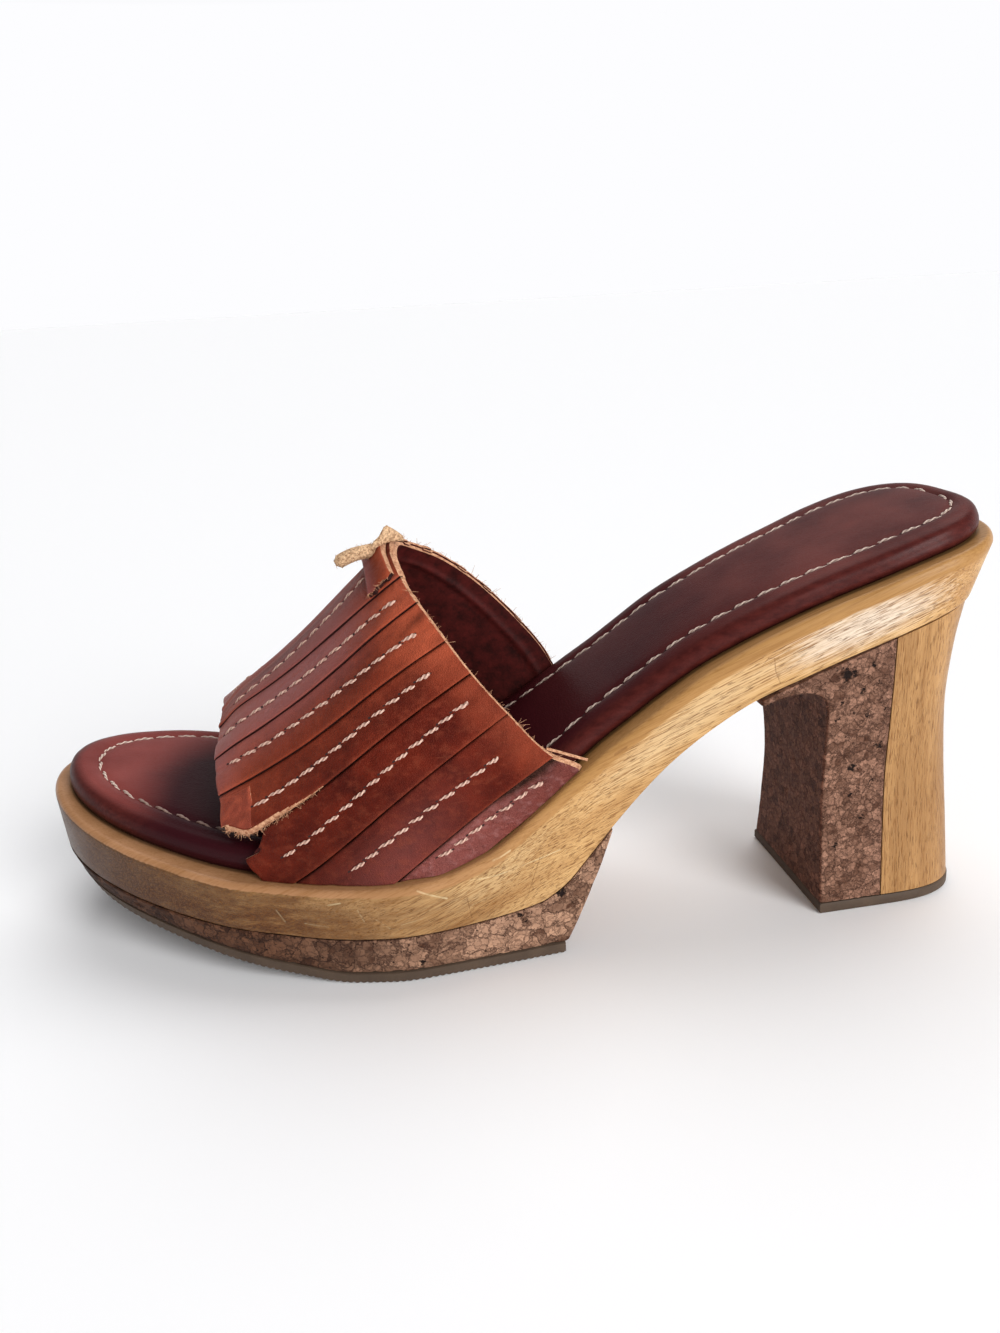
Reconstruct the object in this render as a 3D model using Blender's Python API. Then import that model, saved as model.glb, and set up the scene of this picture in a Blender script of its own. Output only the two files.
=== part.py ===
"""Open-toe platform mule for the left foot: wooden footbed board and heel, cork platform, leather band.

The shoe stands on the floor at z = 0. Its toe points to -X, the heel to +X, the outer side of the
foot to -Y and the inner side to +Y. Sizes are in millimetres and are turned to metres in one place.
"""
import math
from collections import namedtuple

import bpy
import bmesh

MM = 0.001
GAP = 0.3
SNAP = 0.01
SHARP_ANGLE = 32.0

# Middle of the shoe's floor plan, which becomes the origin
CENTRE_X = 2.03
CENTRE_Y = 1.51

# Length of the board and the rounding of its two ends
TOE_TIP = -113.0
HEEL_TIP = 117.0
TOE_ROUND = 52.0
HEEL_ROUND = 29.0
TOE_POWER = 2.0
HEEL_POWER = 3.0

# Places of the cross sections: angles in the rounded ends, plain steps between them
Steps = namedtuple("Steps", "start end count")
TOE_ANGLES = Steps(3, 82, 11)
FRONT_STEPS = Steps(TOE_TIP + TOE_ROUND, -5, 11)
BREAST_STEPS = Steps(1, 25, 9)
BACK_STEPS = Steps(31, HEEL_TIP - HEEL_ROUND, 10)
HEEL_ANGLES = Steps(14, 88, 9)

# Plan of the board's rim: middle line and half width, before the ends are rounded
PlanRow = namedtuple("PlanRow", "x middle half")
PLAN = (
    PlanRow(-113, 17.0, 42.5),
    PlanRow(-89, 12.5, 42.0),
    PlanRow(-61, 4.2, 42.4),
    PlanRow(-46, 0.8, 43.6),
    PlanRow(-34, -2.8, 42.8),
    PlanRow(-22, -6.4, 39.4),
    PlanRow(-7, -9.6, 34.4),
    PlanRow(8, -11.0, 30.3),
    PlanRow(20, -11.4, 28.6),
    PlanRow(36, -11.7, 28.0),
    PlanRow(53, -11.8, 28.1),
    PlanRow(73, -11.0, 29.3),
    PlanRow(88, -10.2, 30.7),
    PlanRow(118, -10.0, 30.7),
)

# Side view of the board: its top face and its underside
BoardRow = namedtuple("BoardRow", "x top under")
BOARD = (
    BoardRow(-113, 37.0, 23.0),
    BoardRow(-100, 33.2, 20.0),
    BoardRow(-87, 30.2, 17.3),
    BoardRow(-62, 26.4, 14.0),
    BoardRow(-40, 25.2, 12.4),
    BoardRow(-24, 25.9, 12.6),
    BoardRow(-12, 29.0, 13.3),
    BoardRow(1, 36.9, 14.8),
    BoardRow(7, 41.2, 17.8),
    BoardRow(13, 45.5, 23.8),
    BoardRow(19, 49.8, 30.4),
    BoardRow(26, 54.4, 37.8),
    BoardRow(33, 59.2, 44.3),
    BoardRow(42, 65.0, 50.9),
    BoardRow(53, 70.4, 57.1),
    BoardRow(65, 75.3, 61.6),
    BoardRow(80, 80.4, 67.0),
    BoardRow(98, 86.0, 73.0),
    BoardRow(118, 90.5, 78.5),
)

# Underside of the rubber sole, flat under the ball and sprung up at the toe
TreadRow = namedtuple("TreadRow", "x bottom")
TREAD = (
    TreadRow(-113, 16.0),
    TreadRow(-98, 12.0),
    TreadRow(-82, 8.2),
    TreadRow(-68, 4.9),
    TreadRow(-55, 2.0),
    TreadRow(-42, 0.0),
    TreadRow(7, 0.0),
)

# Sloping rear face of the platform, up to the thin tip of its wedge
BreastRow = namedtuple("BreastRow", "x bottom")
BREAST = (
    BreastRow(7, 2.0),
    BreastRow(10, 7.8),
    BreastRow(13, 14.2),
    BreastRow(16, 20.9),
    BreastRow(19, 29.4),
)
BREAST_FOOT = 7.0
BREAST_TIP = 19.0

SOLE_THICKNESS = 2.8

# Rounded upper edge of the board: height, width and the turns of its sections
EDGE_ROUND = 4.4
EDGE_WIDTH = 3.7
EDGE_TURNS = (0, 30, 60, 90)

# How far the layers draw in below the rim: along the sides, at the toe and at the heel
SIDE_TAPER_FRONT = 1.3
SIDE_TAPER_BACK = 0.3
TAPER_CHANGE = (-20.0, 15.0)
BOARD_TOE_TAPER = 0.8
BOARD_HEEL_TAPER = 5.0
PLATFORM_SHARE = 2.1
PLATFORM_TOE_TAPER = 2.4
SOLE_SHARE = 2.5
SOLE_TOE_TAPER = 4.0

# Insole: rim of wood left outside it, and its padded edge from the board up
LEDGE_FRONT = 6.3
LEDGE_HEEL = 4.4
LEDGE_CHANGE = (25.0, 65.0)
PadRow = namedtuple("PadRow", "inset lift")
PAD_EDGE = (
    PadRow(0.0, GAP),
    PadRow(-0.5, 2.0),
    PadRow(-0.2, 4.2),
    PadRow(1.0, 5.7),
    PadRow(3.4, 6.4),
)

# Heel block, a row for each height: outer side, inner side and back
HeelRow = namedtuple("HeelRow", "z outer inner back")
HEEL = (
    HeelRow(0, -39.8, 1.6, 110.2),
    HeelRow(17, -38.8, -1.6, 108.4),
    HeelRow(33, -38.2, -3.4, 106.6),
    HeelRow(48, -39.2, -0.6, 105.5),
    HeelRow(60, -40.0, 6.0, 105.6),
    HeelRow(70, -40.4, 12.6, 107.0),
    HeelRow(78, -40.6, 15.6, 108.4),
)
HEEL_FRONT = 70.3
HEEL_SEAM = 86.0
HEEL_FILLET = 9.0
FILLET_START = 50.6
LIFT_THICKNESS = 2.6
HEEL_FLOORS = (0.0, 0.2, 0.4, 0.6, 0.72, 0.8, 0.86, 0.9, 0.93, 0.955, 0.975, 1.0)
ROUND_STEPS = 15

# Leather band: height and place of its ridge, a row for each section
RidgeRow = namedtuple("RidgeRow", "x middle height")
RIDGE = (
    RidgeRow(-76, 4.0, 49.4),
    RidgeRow(-68.5, 3.0, 54.0),
    RidgeRow(-49.6, 0.0, 68.0),
    RidgeRow(-38.8, -2.0, 78.0),
    RidgeRow(-28.3, -4.0, 88.4),
    RidgeRow(-22, -5.0, 94.4),
    RidgeRow(0, -8.0, 113.0),
    RidgeRow(22, -10.0, 128.0),
)
WALL = 1.9
STRIP_EDGES = (12.0, 23.5, 35.0, 47.0, 62.0, 77.5, 100.0)
LAP_STEP = 0.9
LAP_SLANT = 0.35
BAND_INSET = LEDGE_FRONT - GAP - WALL - LAP_STEP
BAND_STEPS = Steps(-75, 24, 19)
BAND_SKIRT = 60.0
ARCH_STEPS = 46
LIFT_AT_RIDGE = 0.45
LIFT_AT_MIDDLE = 0.55

# Side view of the band's cut edges: front edge from the top down, then the collar from the sole up,
# which reaches further back on the inner side of the foot
EdgeRow = namedtuple("EdgeRow", "x z")
FRONT_EDGE = (
    EdgeRow(-69.0, 140.0),
    EdgeRow(-68.8, 57.0),
    EdgeRow(-69.8, 51.0),
    EdgeRow(-69.0, 46.4),
    EdgeRow(-67.2, 39.5),
    EdgeRow(-66.4, 34.4),
    EdgeRow(-60.2, 34.2),
    EdgeRow(-63.4, 31.6),
)
FRONT_CORNER = -60.2
CollarRow = namedtuple("CollarRow", "outer_x outer_z inner_x inner_z")
COLLAR_CORNERS = (12.8, 19.0)
COLLAR_EDGE = (
    CollarRow(5.2, 50.5, 15.0, 58.5),
    CollarRow(-2.4, 59.6, 9.6, 66.0),
    CollarRow(-10.0, 69.5, -0.4, 77.5),
    CollarRow(-17.2, 80.4, -10.5, 86.0),
    CollarRow(-22.2, 88.2, -19.0, 91.0),
    CollarRow(-24.4, 95.0, -24.4, 95.0),
    CollarRow(-24.6, 140.0, -24.6, 140.0),
)
BAND_CUT_HALF = 70.0
RIDGE_TURN = (-9.0, 1.0)
CUT_STEPS = 24

# Leather tab folded over the collar, and the thong tied through it
TAB_STEPS = Steps(-30.0, -24.9, 5)
TAB_REACH = Steps(-15.5, 8.0, 12)
TAB_THICKNESS = 1.2
THONG_DIAMETER = 3.4
LAID_DIAMETER = 2.4
KNOT_RADIUS = 3.4
KNOT_SHAPE = (0.8, 1.0, 0.72)
KNOT_PLACE = (-21.6, -4.6, 97.2)
RouteRow = namedtuple("RouteRow", "x y z")
THONG_FRONT = (
    RouteRow(-25.4, -5.4, 96.8),
    RouteRow(-28.2, -5.8, 94.1),
    RouteRow(-30.6, -6.2, 92.1),
    RouteRow(-33.4, -6.8, 91.0),
    RouteRow(-38.0, -7.6, 90.2),
)
LaidRow = namedtuple("LaidRow", "x distance")
THONG_BACK = (
    LaidRow(-24.4, 8.0),
    LaidRow(-22.6, 12.5),
    LaidRow(-19.6, 17.0),
    LaidRow(-15.6, 21.5),
    LaidRow(-11.4, 25.5),
)

Finish = namedtuple("Finish", "color roughness")
FINISHES = {
    "honey_wood": Finish((0.58, 0.36, 0.13, 1), 0.42),
    "cork": Finish((0.33, 0.18, 0.12, 1), 0.85),
    "rubber": Finish((0.10, 0.085, 0.06, 1), 0.7),
    "insole_leather": Finish((0.09, 0.03, 0.028, 1), 0.45),
    "band_leather": Finish((0.26, 0.055, 0.03, 1), 0.45),
    "suede": Finish((0.52, 0.27, 0.12, 1), 0.9),
}


def clear_scene():
    for item in list(bpy.data.objects):
        bpy.data.objects.remove(item)


def make_collection(name):
    collection = bpy.data.collections.new(name)
    bpy.context.scene.collection.children.link(collection)
    return collection


def make_material(name):
    finish = FINISHES[name]
    material = bpy.data.materials.new(name)
    material.use_nodes = True
    shader = material.node_tree.nodes["Principled BSDF"]
    shader.inputs["Base Color"].default_value = finish.color
    shader.inputs["Roughness"].default_value = finish.roughness
    return material


def smooth(rows, column, x):
    """Value of a table's column at x: a cubic through the rows that never overshoots them."""
    xs = [row[0] for row in rows]
    ys = [getattr(row, column) for row in rows]
    if x <= xs[0]:
        return ys[0]
    if x >= xs[-1]:
        return ys[-1]
    slopes = [(ys[i + 1] - ys[i]) / (xs[i + 1] - xs[i]) for i in range(len(xs) - 1)]
    tangents = [slopes[0]]
    for before, after in zip(slopes, slopes[1:]):
        same_way = before * after > 0
        tangents.append(2 * before * after / (before + after) if same_way else 0.0)
    tangents.append(slopes[-1])
    i = max(k for k in range(len(xs) - 1) if xs[k] <= x)
    step = xs[i + 1] - xs[i]
    t = (x - xs[i]) / step
    start = (1 + 2 * t) * (1 - t) ** 2 * ys[i] + t * (1 - t) ** 2 * step * tangents[i]
    end = t * t * (3 - 2 * t) * ys[i + 1] + t * t * (t - 1) * step * tangents[i + 1]
    return start + end


def fade(x, start, end):
    """Soft step from 0 at start to 1 at end."""
    t = min(1.0, max(0.0, (x - start) / (end - start)))
    return t * t * (3 - 2 * t)


def toe_share(station):
    """How far a station lies into the rounded toe: 0 where the rounding starts, 1 at the tip."""
    return max(0.0, (TOE_TIP + TOE_ROUND - station) / TOE_ROUND)


def heel_share(station):
    """How far a station lies into the rounded heel end: 0 where the rounding starts, 1 at the tip."""
    return max(0.0, (station - HEEL_TIP + HEEL_ROUND) / HEEL_ROUND)


def end_factor(station):
    """Share of the half width that the rounded ends leave."""
    toe = (1 - min(1.0, toe_share(station)) ** TOE_POWER) ** (1 / TOE_POWER)
    heel = (1 - min(1.0, heel_share(station)) ** HEEL_POWER) ** (1 / HEEL_POWER)
    return toe * heel


def outline(station, inset, toe_inset=None, heel_inset=None):
    """Place along the shoe, outer edge and inner edge of the rim's plan moved in by an inset."""
    toe_inset = inset if toe_inset is None else toe_inset
    heel_inset = inset if heel_inset is None else heel_inset
    x = station + toe_inset * toe_share(station) - heel_inset * heel_share(station)
    middle = smooth(PLAN, "middle", station)
    half = (smooth(PLAN, "half", station) - inset) * end_factor(station)
    return x, middle - half, middle + half


def spread(start, end, count):
    return [start + (end - start) * i / (count - 1) for i in range(count)]


def rim_stations():
    """Places of the cross sections, close together in the rounded ends and at the breast."""
    toe = [TOE_TIP + TOE_ROUND * (1 - math.cos(math.radians(a))) for a in spread(*TOE_ANGLES)]
    heel = [HEEL_TIP - HEEL_ROUND * (1 - math.sin(math.radians(a))) for a in spread(*HEEL_ANGLES)]
    return toe + spread(*FRONT_STEPS) + spread(*BREAST_STEPS) + spread(*BACK_STEPS) + heel


def side_taper(station):
    """How far the underside of the board lies inside its rim."""
    return SIDE_TAPER_FRONT + (SIDE_TAPER_BACK - SIDE_TAPER_FRONT) * fade(station, *TAPER_CHANGE)


def ledge(station):
    """Width of the board's rim that shows outside the insole."""
    return LEDGE_FRONT + (LEDGE_HEEL - LEDGE_FRONT) * fade(station, *LEDGE_CHANGE)


def top_face(x):
    return smooth(BOARD, "top", x)


def underside(x):
    return smooth(BOARD, "under", x)


def tread(x):
    return smooth(TREAD, "bottom", x)


def new_part(name, mesh, material, collection):
    mesh.shade_smooth()
    mesh.set_sharp_from_angle(angle=math.radians(SHARP_ANGLE))
    part = bpy.data.objects.new(name, mesh)
    part.data.materials.append(material)
    collection.objects.link(part)
    return part


def place(point):
    """Point in metres, counted from the middle of the shoe's floor plan."""
    x, y, z = point
    return MM * (x - CENTRE_X), MM * (y - CENTRE_Y), MM * z


def close_end(bm, loop):
    """Ladder of faces over an end ring, between its first half and its second half."""
    last = len(loop) - 1
    for i in range(len(loop) // 2):
        rung = list(dict.fromkeys((loop[i], loop[i + 1], loop[last - i - 1], loop[last - i])))
        if len(rung) > 2:
            bm.faces.new(rung)


def loft(name, rings, flat_ends=False):
    """Closed mesh through rings of equally many points, given in millimetres."""
    bm = bmesh.new()
    loops = [[bm.verts.new(place(point)) for point in ring] for ring in rings]
    for first, second in zip(loops, loops[1:]):
        for i in range(len(first)):
            j = (i + 1) % len(first)
            bm.faces.new((first[i], first[j], second[j], second[i]))
    for loop in (loops[0], loops[-1]):
        if flat_ends:
            bm.faces.new(loop)
        else:
            close_end(bm, loop)
    bmesh.ops.recalc_face_normals(bm, faces=bm.faces)
    mesh = bpy.data.meshes.new(name)
    bm.to_mesh(mesh)
    bm.free()
    return mesh


def section(levels):
    """Cross section of a sole layer: up the outer side, over the top, down the inner side."""
    outer = [(x, near, z) for x, near, far, z in levels]
    inner = [(x, far, z) for x, near, far, z in reversed(levels)]
    return outer + inner


def level(station, inset, height, toe_inset=None, heel_inset=None):
    """One height of a sole layer, with its z taken at its own place along the shoe."""
    x, near, far = outline(station, inset, toe_inset, heel_inset)
    return x, near, far, height(x)


def make_board():
    """Wooden board from toe to heel, with a rounded upper edge."""
    rings = []
    for station in rim_stations():
        levels = [level(station, side_taper(station), underside, BOARD_TOE_TAPER, BOARD_HEEL_TAPER)]
        for turn in EDGE_TURNS:
            inset = EDGE_WIDTH * (1 - math.cos(math.radians(turn)))
            drop = EDGE_ROUND * (1 - math.sin(math.radians(turn)))
            levels.append(level(station, inset, lambda x: top_face(x) - drop))
        rings.append(section(levels))
    return loft("sole_board", rings)


def platform_bottom(x):
    """Bottom of the cork platform: on the rubber sole, then up its sloping rear face."""
    on_sole = tread(x) + SOLE_THICKNESS + GAP
    if x <= BREAST_FOOT:
        return on_sole
    return max(on_sole, smooth(BREAST, "bottom", x))


def make_platform():
    """Cork platform between board and rubber sole, running out in a thin wedge at the rear."""
    rings = []
    for station in rim_stations():
        if station > BREAST_TIP + SNAP:
            break
        taper = side_taper(station)
        upper = level(station, taper, lambda x: underside(x) - GAP, BOARD_TOE_TAPER)
        lower = level(station, taper * PLATFORM_SHARE, platform_bottom, PLATFORM_TOE_TAPER)
        rings.append(section([lower, upper]))
    return loft("platform_cork", rings)


def make_outsole():
    """Thin rubber sole under the cork platform."""
    rings = []
    for station in rim_stations():
        if station > BREAST_FOOT + SNAP:
            break
        taper = side_taper(station)
        share = taper * PLATFORM_SHARE
        upper = level(station, share, lambda x: tread(x) + SOLE_THICKNESS, PLATFORM_TOE_TAPER)
        lower = level(station, taper * SOLE_SHARE, tread, SOLE_TOE_TAPER)
        rings.append(section([lower, upper]))
    return loft("outsole", rings)


def make_insole():
    """Padded leather insole with a rounded edge, on top of the board."""
    rings = []
    for station in rim_stations():
        levels = []
        for row in PAD_EDGE:
            inset = ledge(station) + row.inset
            levels.append(level(station, inset, lambda x: top_face(x) + row.lift, LEDGE_HEEL + row.inset))
        rings.append(section(levels))
    return loft("insole", rings)


def heel_front(z):
    """Front face of the heel: upright, then hollowed forward under the arch."""
    rise = min(HEEL_FILLET, max(0.0, z - FILLET_START))
    return HEEL_FRONT - HEEL_FILLET + math.sqrt(HEEL_FILLET ** 2 - rise ** 2)


def heel_height(share, x):
    """Height of a point of the heel block, from the top lift up to the underside of the board."""
    foot = LIFT_THICKNESS + GAP
    return foot + share * (underside(x) - GAP - foot)


def back_curve(z, start):
    """Rounded back of the heel at one height, from the outer side round to the inner side."""
    outer = smooth(HEEL, "outer", z)
    inner = smooth(HEEL, "inner", z)
    depth = smooth(HEEL, "back", z) - start
    points = []
    for angle in spread(-90, 90, ROUND_STEPS):
        along = max(0.0, math.cos(math.radians(angle))) ** (2 / HEEL_POWER)
        across = abs(math.sin(math.radians(angle))) ** (2 / HEEL_POWER)
        side = inner if angle > 0 else outer
        middle = (outer + inner) / 2
        points.append((start + depth * along, middle + (side - middle) * across))
    return points


def make_heel_wood():
    """Rear wooden half of the heel, hollowed at the back."""
    start = HEEL_SEAM + GAP / 2
    rings = []
    for share in HEEL_FLOORS:
        z = heel_height(share, HEEL_SEAM)
        rings.append([(x, y, heel_height(share, x)) for x, y in back_curve(z, start)])
    return loft("heel_wood", rings)


def make_heel_cork():
    """Front cork half of the heel, running out under the arch in a round hollow."""
    end = HEEL_SEAM - GAP / 2
    rings = []
    for share in HEEL_FLOORS:
        z = heel_height(share, HEEL_SEAM)
        front = heel_front(heel_height(share, HEEL_FRONT - HEEL_FILLET / 2))
        middle = (front + end) / 2
        outer = smooth(HEEL, "outer", z)
        inner = smooth(HEEL, "inner", z)
        plan = [(x, outer) for x in (front, middle, end)] + [(x, inner) for x in (end, middle, front)]
        rings.append([(x, y, heel_height(share, x)) for x, y in plan])
    return loft("heel_cork", rings)


def make_top_lift():
    """Rubber top lift under both halves of the heel."""
    outer = smooth(HEEL, "outer", 0)
    inner = smooth(HEEL, "inner", 0)
    plan = [(HEEL_FRONT, outer)] + back_curve(0, HEEL_SEAM) + [(HEEL_FRONT, inner)]
    rings = [[(x, y, z) for x, y in plan] for z in (0.0, LIFT_THICKNESS)]
    return loft("heel_top_lift", rings)


def band_feet(x):
    """Outer and inner foot of the band, just outside the insole."""
    return outline(x, BAND_INSET)[1:]


def arch(x, side):
    """Points of one side of the band's section from the ridge down: a quarter of an oval and a skirt."""
    near, far = band_feet(x)
    middle = smooth(RIDGE, "middle", x)
    foot = near if side < 0 else far
    base = top_face(x)
    height = smooth(RIDGE, "height", x) - base
    points = []
    for angle in spread(0, 90, ARCH_STEPS):
        turn = math.radians(angle)
        points.append((middle + (foot - middle) * math.sin(turn), base + height * math.cos(turn)))
    points.append((foot, base - BAND_SKIRT))
    return points


def along(points, distance):
    """Point at a distance along a polyline, and the normal on the left of its direction."""
    for (y0, z0), (y1, z1) in zip(points, points[1:]):
        length = math.hypot(y1 - y0, z1 - z0)
        if distance <= length:
            break
        distance -= length
    share = min(1.0, distance / length)
    normal = (-(z1 - z0) / length, (y1 - y0) / length)
    return y0 + (y1 - y0) * share, z0 + (z1 - z0) * share, normal


def band_point(x, distance, lift):
    """Point of the band's surface at a distance from the ridge, lifted off it along its normal.

    A negative distance lies on the outer side of the foot, a positive one on the inner side.
    """
    side = -1 if distance < 0 else 1
    y, z, normal = along(arch(x, side), abs(distance))
    return x, y + side * normal[0] * lift, z + side * normal[1] * lift


def lap_rows():
    """Distances from the ridge and lifts of the rows: each strip laps over the one below it."""
    rows = [(0.0, LIFT_AT_RIDGE)]
    for start, end in zip((0.0,) + STRIP_EDGES, STRIP_EDGES):
        rows.append(((start + end) / 2, LIFT_AT_MIDDLE))
        rows.append((end - LAP_SLANT, LAP_STEP))
        rows.append((end, 0.0))
    outer = [(-distance, lift) for distance, lift in reversed(rows[1:])]
    return outer + rows


def make_band_shell():
    """Whole tunnel of the band, longer and deeper than its cut edges."""
    rings = []
    for x in spread(*BAND_STEPS):
        outside = [band_point(x, distance, lift) for distance, lift in lap_rows()]
        inside = [band_point(x, distance, -WALL) for distance, lift in reversed(lap_rows())]
        rings.append(outside + inside)
    return loft("upper", rings)


def band_side_view(inner):
    """Outline of the band in side view, as cut on the inner or the outer side of the foot."""
    front = [(row.x, row.z) for row in FRONT_EDGE]
    sole = [(x, top_face(x) + GAP) for x in spread(FRONT_CORNER, COLLAR_CORNERS[inner], CUT_STEPS)]
    if inner:
        collar = [(row.inner_x, row.inner_z) for row in COLLAR_EDGE]
    else:
        collar = [(row.outer_x, row.outer_z) for row in COLLAR_EDGE]
    return front + sole + collar


def make_band_cutter(collection):
    """Side view of the band as a prism across the shoe, which changes from one side to the other."""
    cuts = ((-BAND_CUT_HALF, 0), (RIDGE_TURN[0], 0), (RIDGE_TURN[1], 1), (BAND_CUT_HALF, 1))
    rings = [[(x, y, z) for x, z in band_side_view(inner)] for y, inner in cuts]
    cutter = bpy.data.objects.new("band_side_view", loft("band_side_view", rings, flat_ends=True))
    cutter.hide_render = True
    cutter.display_type = "WIRE"
    collection.objects.link(cutter)
    return cutter


def make_tab():
    """Leather tab that lies on the band's upper edge."""
    lifts = (LAP_STEP + GAP, LAP_STEP + GAP + TAB_THICKNESS)
    rings = []
    for x in spread(*TAB_STEPS):
        rows = spread(*TAB_REACH)
        below = [band_point(x, distance, lifts[0]) for distance in rows]
        above = [band_point(x, distance, lifts[1]) for distance in reversed(rows)]
        rings.append(below + above)
    return loft("collar_tab", rings)


def make_thong_end(name, route, diameter):
    """One end of the thong, as a round tube along its route."""
    curve = bpy.data.curves.new(name, "CURVE")
    curve.dimensions = "3D"
    curve.bevel_depth = MM * diameter / 2
    curve.bevel_resolution = 2
    curve.use_fill_caps = True
    spline = curve.splines.new("POLY")
    spline.points.add(len(route) - 1)
    for point, spot in zip(spline.points, route):
        point.co = (*place(spot), 1)
    return curve


def laid_route():
    """Route of the thong's back end, which lies on the inner side of the band beside the collar."""
    lift = LAP_STEP + GAP + LAID_DIAMETER / 2
    return [band_point(row.x, row.distance, lift) for row in THONG_BACK]


def make_knot():
    """Knot of the thong, a flattened ball on top of the tab."""
    bm = bmesh.new()
    bmesh.ops.create_uvsphere(bm, u_segments=14, v_segments=8, radius=MM * KNOT_RADIUS)
    bmesh.ops.scale(bm, vec=KNOT_SHAPE, verts=bm.verts)
    bmesh.ops.translate(bm, vec=place(KNOT_PLACE), verts=bm.verts)
    mesh = bpy.data.meshes.new("thong_knot")
    bm.to_mesh(mesh)
    bm.free()
    return mesh


def build():
    clear_scene()
    parts = make_collection("platform_mule")
    cutters = make_collection("cutters")
    finishes = {name: make_material(name) for name in FINISHES}

    new_part("outsole", make_outsole(), finishes["rubber"], parts)
    new_part("platform_cork", make_platform(), finishes["cork"], parts)
    new_part("sole_board", make_board(), finishes["honey_wood"], parts)
    new_part("insole", make_insole(), finishes["insole_leather"], parts)
    new_part("heel_cork", make_heel_cork(), finishes["cork"], parts)
    new_part("heel_wood", make_heel_wood(), finishes["honey_wood"], parts)
    new_part("heel_top_lift", make_top_lift(), finishes["rubber"], parts)

    upper = new_part("upper", make_band_shell(), finishes["band_leather"], parts)
    trim = upper.modifiers.new("cut_edges", "BOOLEAN")
    trim.operation = "INTERSECT"
    trim.object = make_band_cutter(cutters)

    new_part("collar_tab", make_tab(), finishes["band_leather"], parts)
    new_part("thong_knot", make_knot(), finishes["suede"], parts)
    ends = (
        ("thong_front_end", THONG_FRONT, THONG_DIAMETER),
        ("thong_back_end", laid_route(), LAID_DIAMETER),
    )
    for name, route, diameter in ends:
        end = bpy.data.objects.new(name, make_thong_end(name, route, diameter))
        end.data.materials.append(finishes["suede"])
        parts.objects.link(end)


build()
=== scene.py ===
# %% [markdown]
# # Finishing a wooden platform mule
# The shoe is an open-toed mule for the left foot: a curved hardwood board on a cork platform, a heel of
# cork and wood, a padded leather insole, and one broad band of lapped leather strips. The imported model
# gives the right sizes. This lesson dresses it: finer meshes where the eye looks for them, and a material
# for each surface.

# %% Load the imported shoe
import math
from functools import partial

import bmesh
import bpy
import numpy as np
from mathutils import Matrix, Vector, noise


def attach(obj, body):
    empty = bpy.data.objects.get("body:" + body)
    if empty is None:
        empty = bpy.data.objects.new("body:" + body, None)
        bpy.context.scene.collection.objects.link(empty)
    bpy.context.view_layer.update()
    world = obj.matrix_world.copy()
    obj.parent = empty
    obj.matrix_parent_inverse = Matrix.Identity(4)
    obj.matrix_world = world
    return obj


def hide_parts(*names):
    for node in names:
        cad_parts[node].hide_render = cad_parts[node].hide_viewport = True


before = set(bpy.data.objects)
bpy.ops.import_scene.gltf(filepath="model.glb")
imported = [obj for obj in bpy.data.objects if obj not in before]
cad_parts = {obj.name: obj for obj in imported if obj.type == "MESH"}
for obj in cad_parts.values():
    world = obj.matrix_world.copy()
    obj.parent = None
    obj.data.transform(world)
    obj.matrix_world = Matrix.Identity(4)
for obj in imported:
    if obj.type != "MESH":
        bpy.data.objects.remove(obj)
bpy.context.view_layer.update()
print("packed nodes:", len(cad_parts))

# %% [markdown]
# ## The camera
# The photograph was taken from the outer side of the shoe, a little in front and above. A view could be
# found by trial, but here the camera was fitted to points of the shoe, so the render can be laid over the
# photograph. A phone's wide lens close to the shoe makes the toe look large.

# %% Camera
CAMERA_PLACE = (-0.03993, -0.26101, 0.147)
CAMERA_TURN = (71.3428, 3.2104, -9.6692)
CAMERA_LENS = 29.727
CAMERA_SENSOR = 36.0

camera = bpy.data.objects.new("side_camera", bpy.data.cameras.new("side_camera"))
camera.location = CAMERA_PLACE
camera.rotation_euler = [math.radians(angle) for angle in CAMERA_TURN]
camera.data.lens = CAMERA_LENS
camera.data.sensor_width = CAMERA_SENSOR
camera.data.clip_start = 0.01
bpy.context.scene.collection.objects.link(camera)
bpy.context.scene.camera = camera
print("camera lens:", CAMERA_LENS)

# %% [markdown]
# ## Studio
# The shoe stands on a pale floor in soft light. A white backdrop and a dim ceiling keep the colours deep,
# because a room that is white all round would lay a grey veil of reflections over the dark leather. Two
# broad suns light the floor evenly out to the horizon, and a low lamp on the right draws the glare along
# the lacquered board, helped by a painted highlight in the wood at the heel.

# %% One function from hex colours to linear light
def linear(code):
    """Linear RGBA of an sRGB hex colour."""
    channels = [int(code[i:i + 2], 16) / 255 for i in (1, 3, 5)]
    light = [c / 12.92 if c <= 0.04045 else ((c + 0.055) / 1.055) ** 2.4 for c in channels]
    return light + [1.0]


# sockets that take a node's values in order, where they aren't its first ones, and the output that is used
SOCKETS = {
    "Mix": (0, 6, 7), "VectorMath.SCALE": (0, 3), "TexVoronoi": ("Vector", "Scale"),
    "TexNoise": ("Vector", "Scale", "Detail", "Roughness"), "Bump": ("Height", "Strength", "Distance"),
}
OUTPUTS = {"Mix": 2, "TexNoise": "Fac", "Attribute": "Fac", "TexCoord": "Object"}
OUTPUTS.update({f"VectorMath.{measure}": "Value" for measure in ("LENGTH", "DISTANCE", "DOT_PRODUCT")})
FIRST_SOCKETS = range(5)


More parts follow.
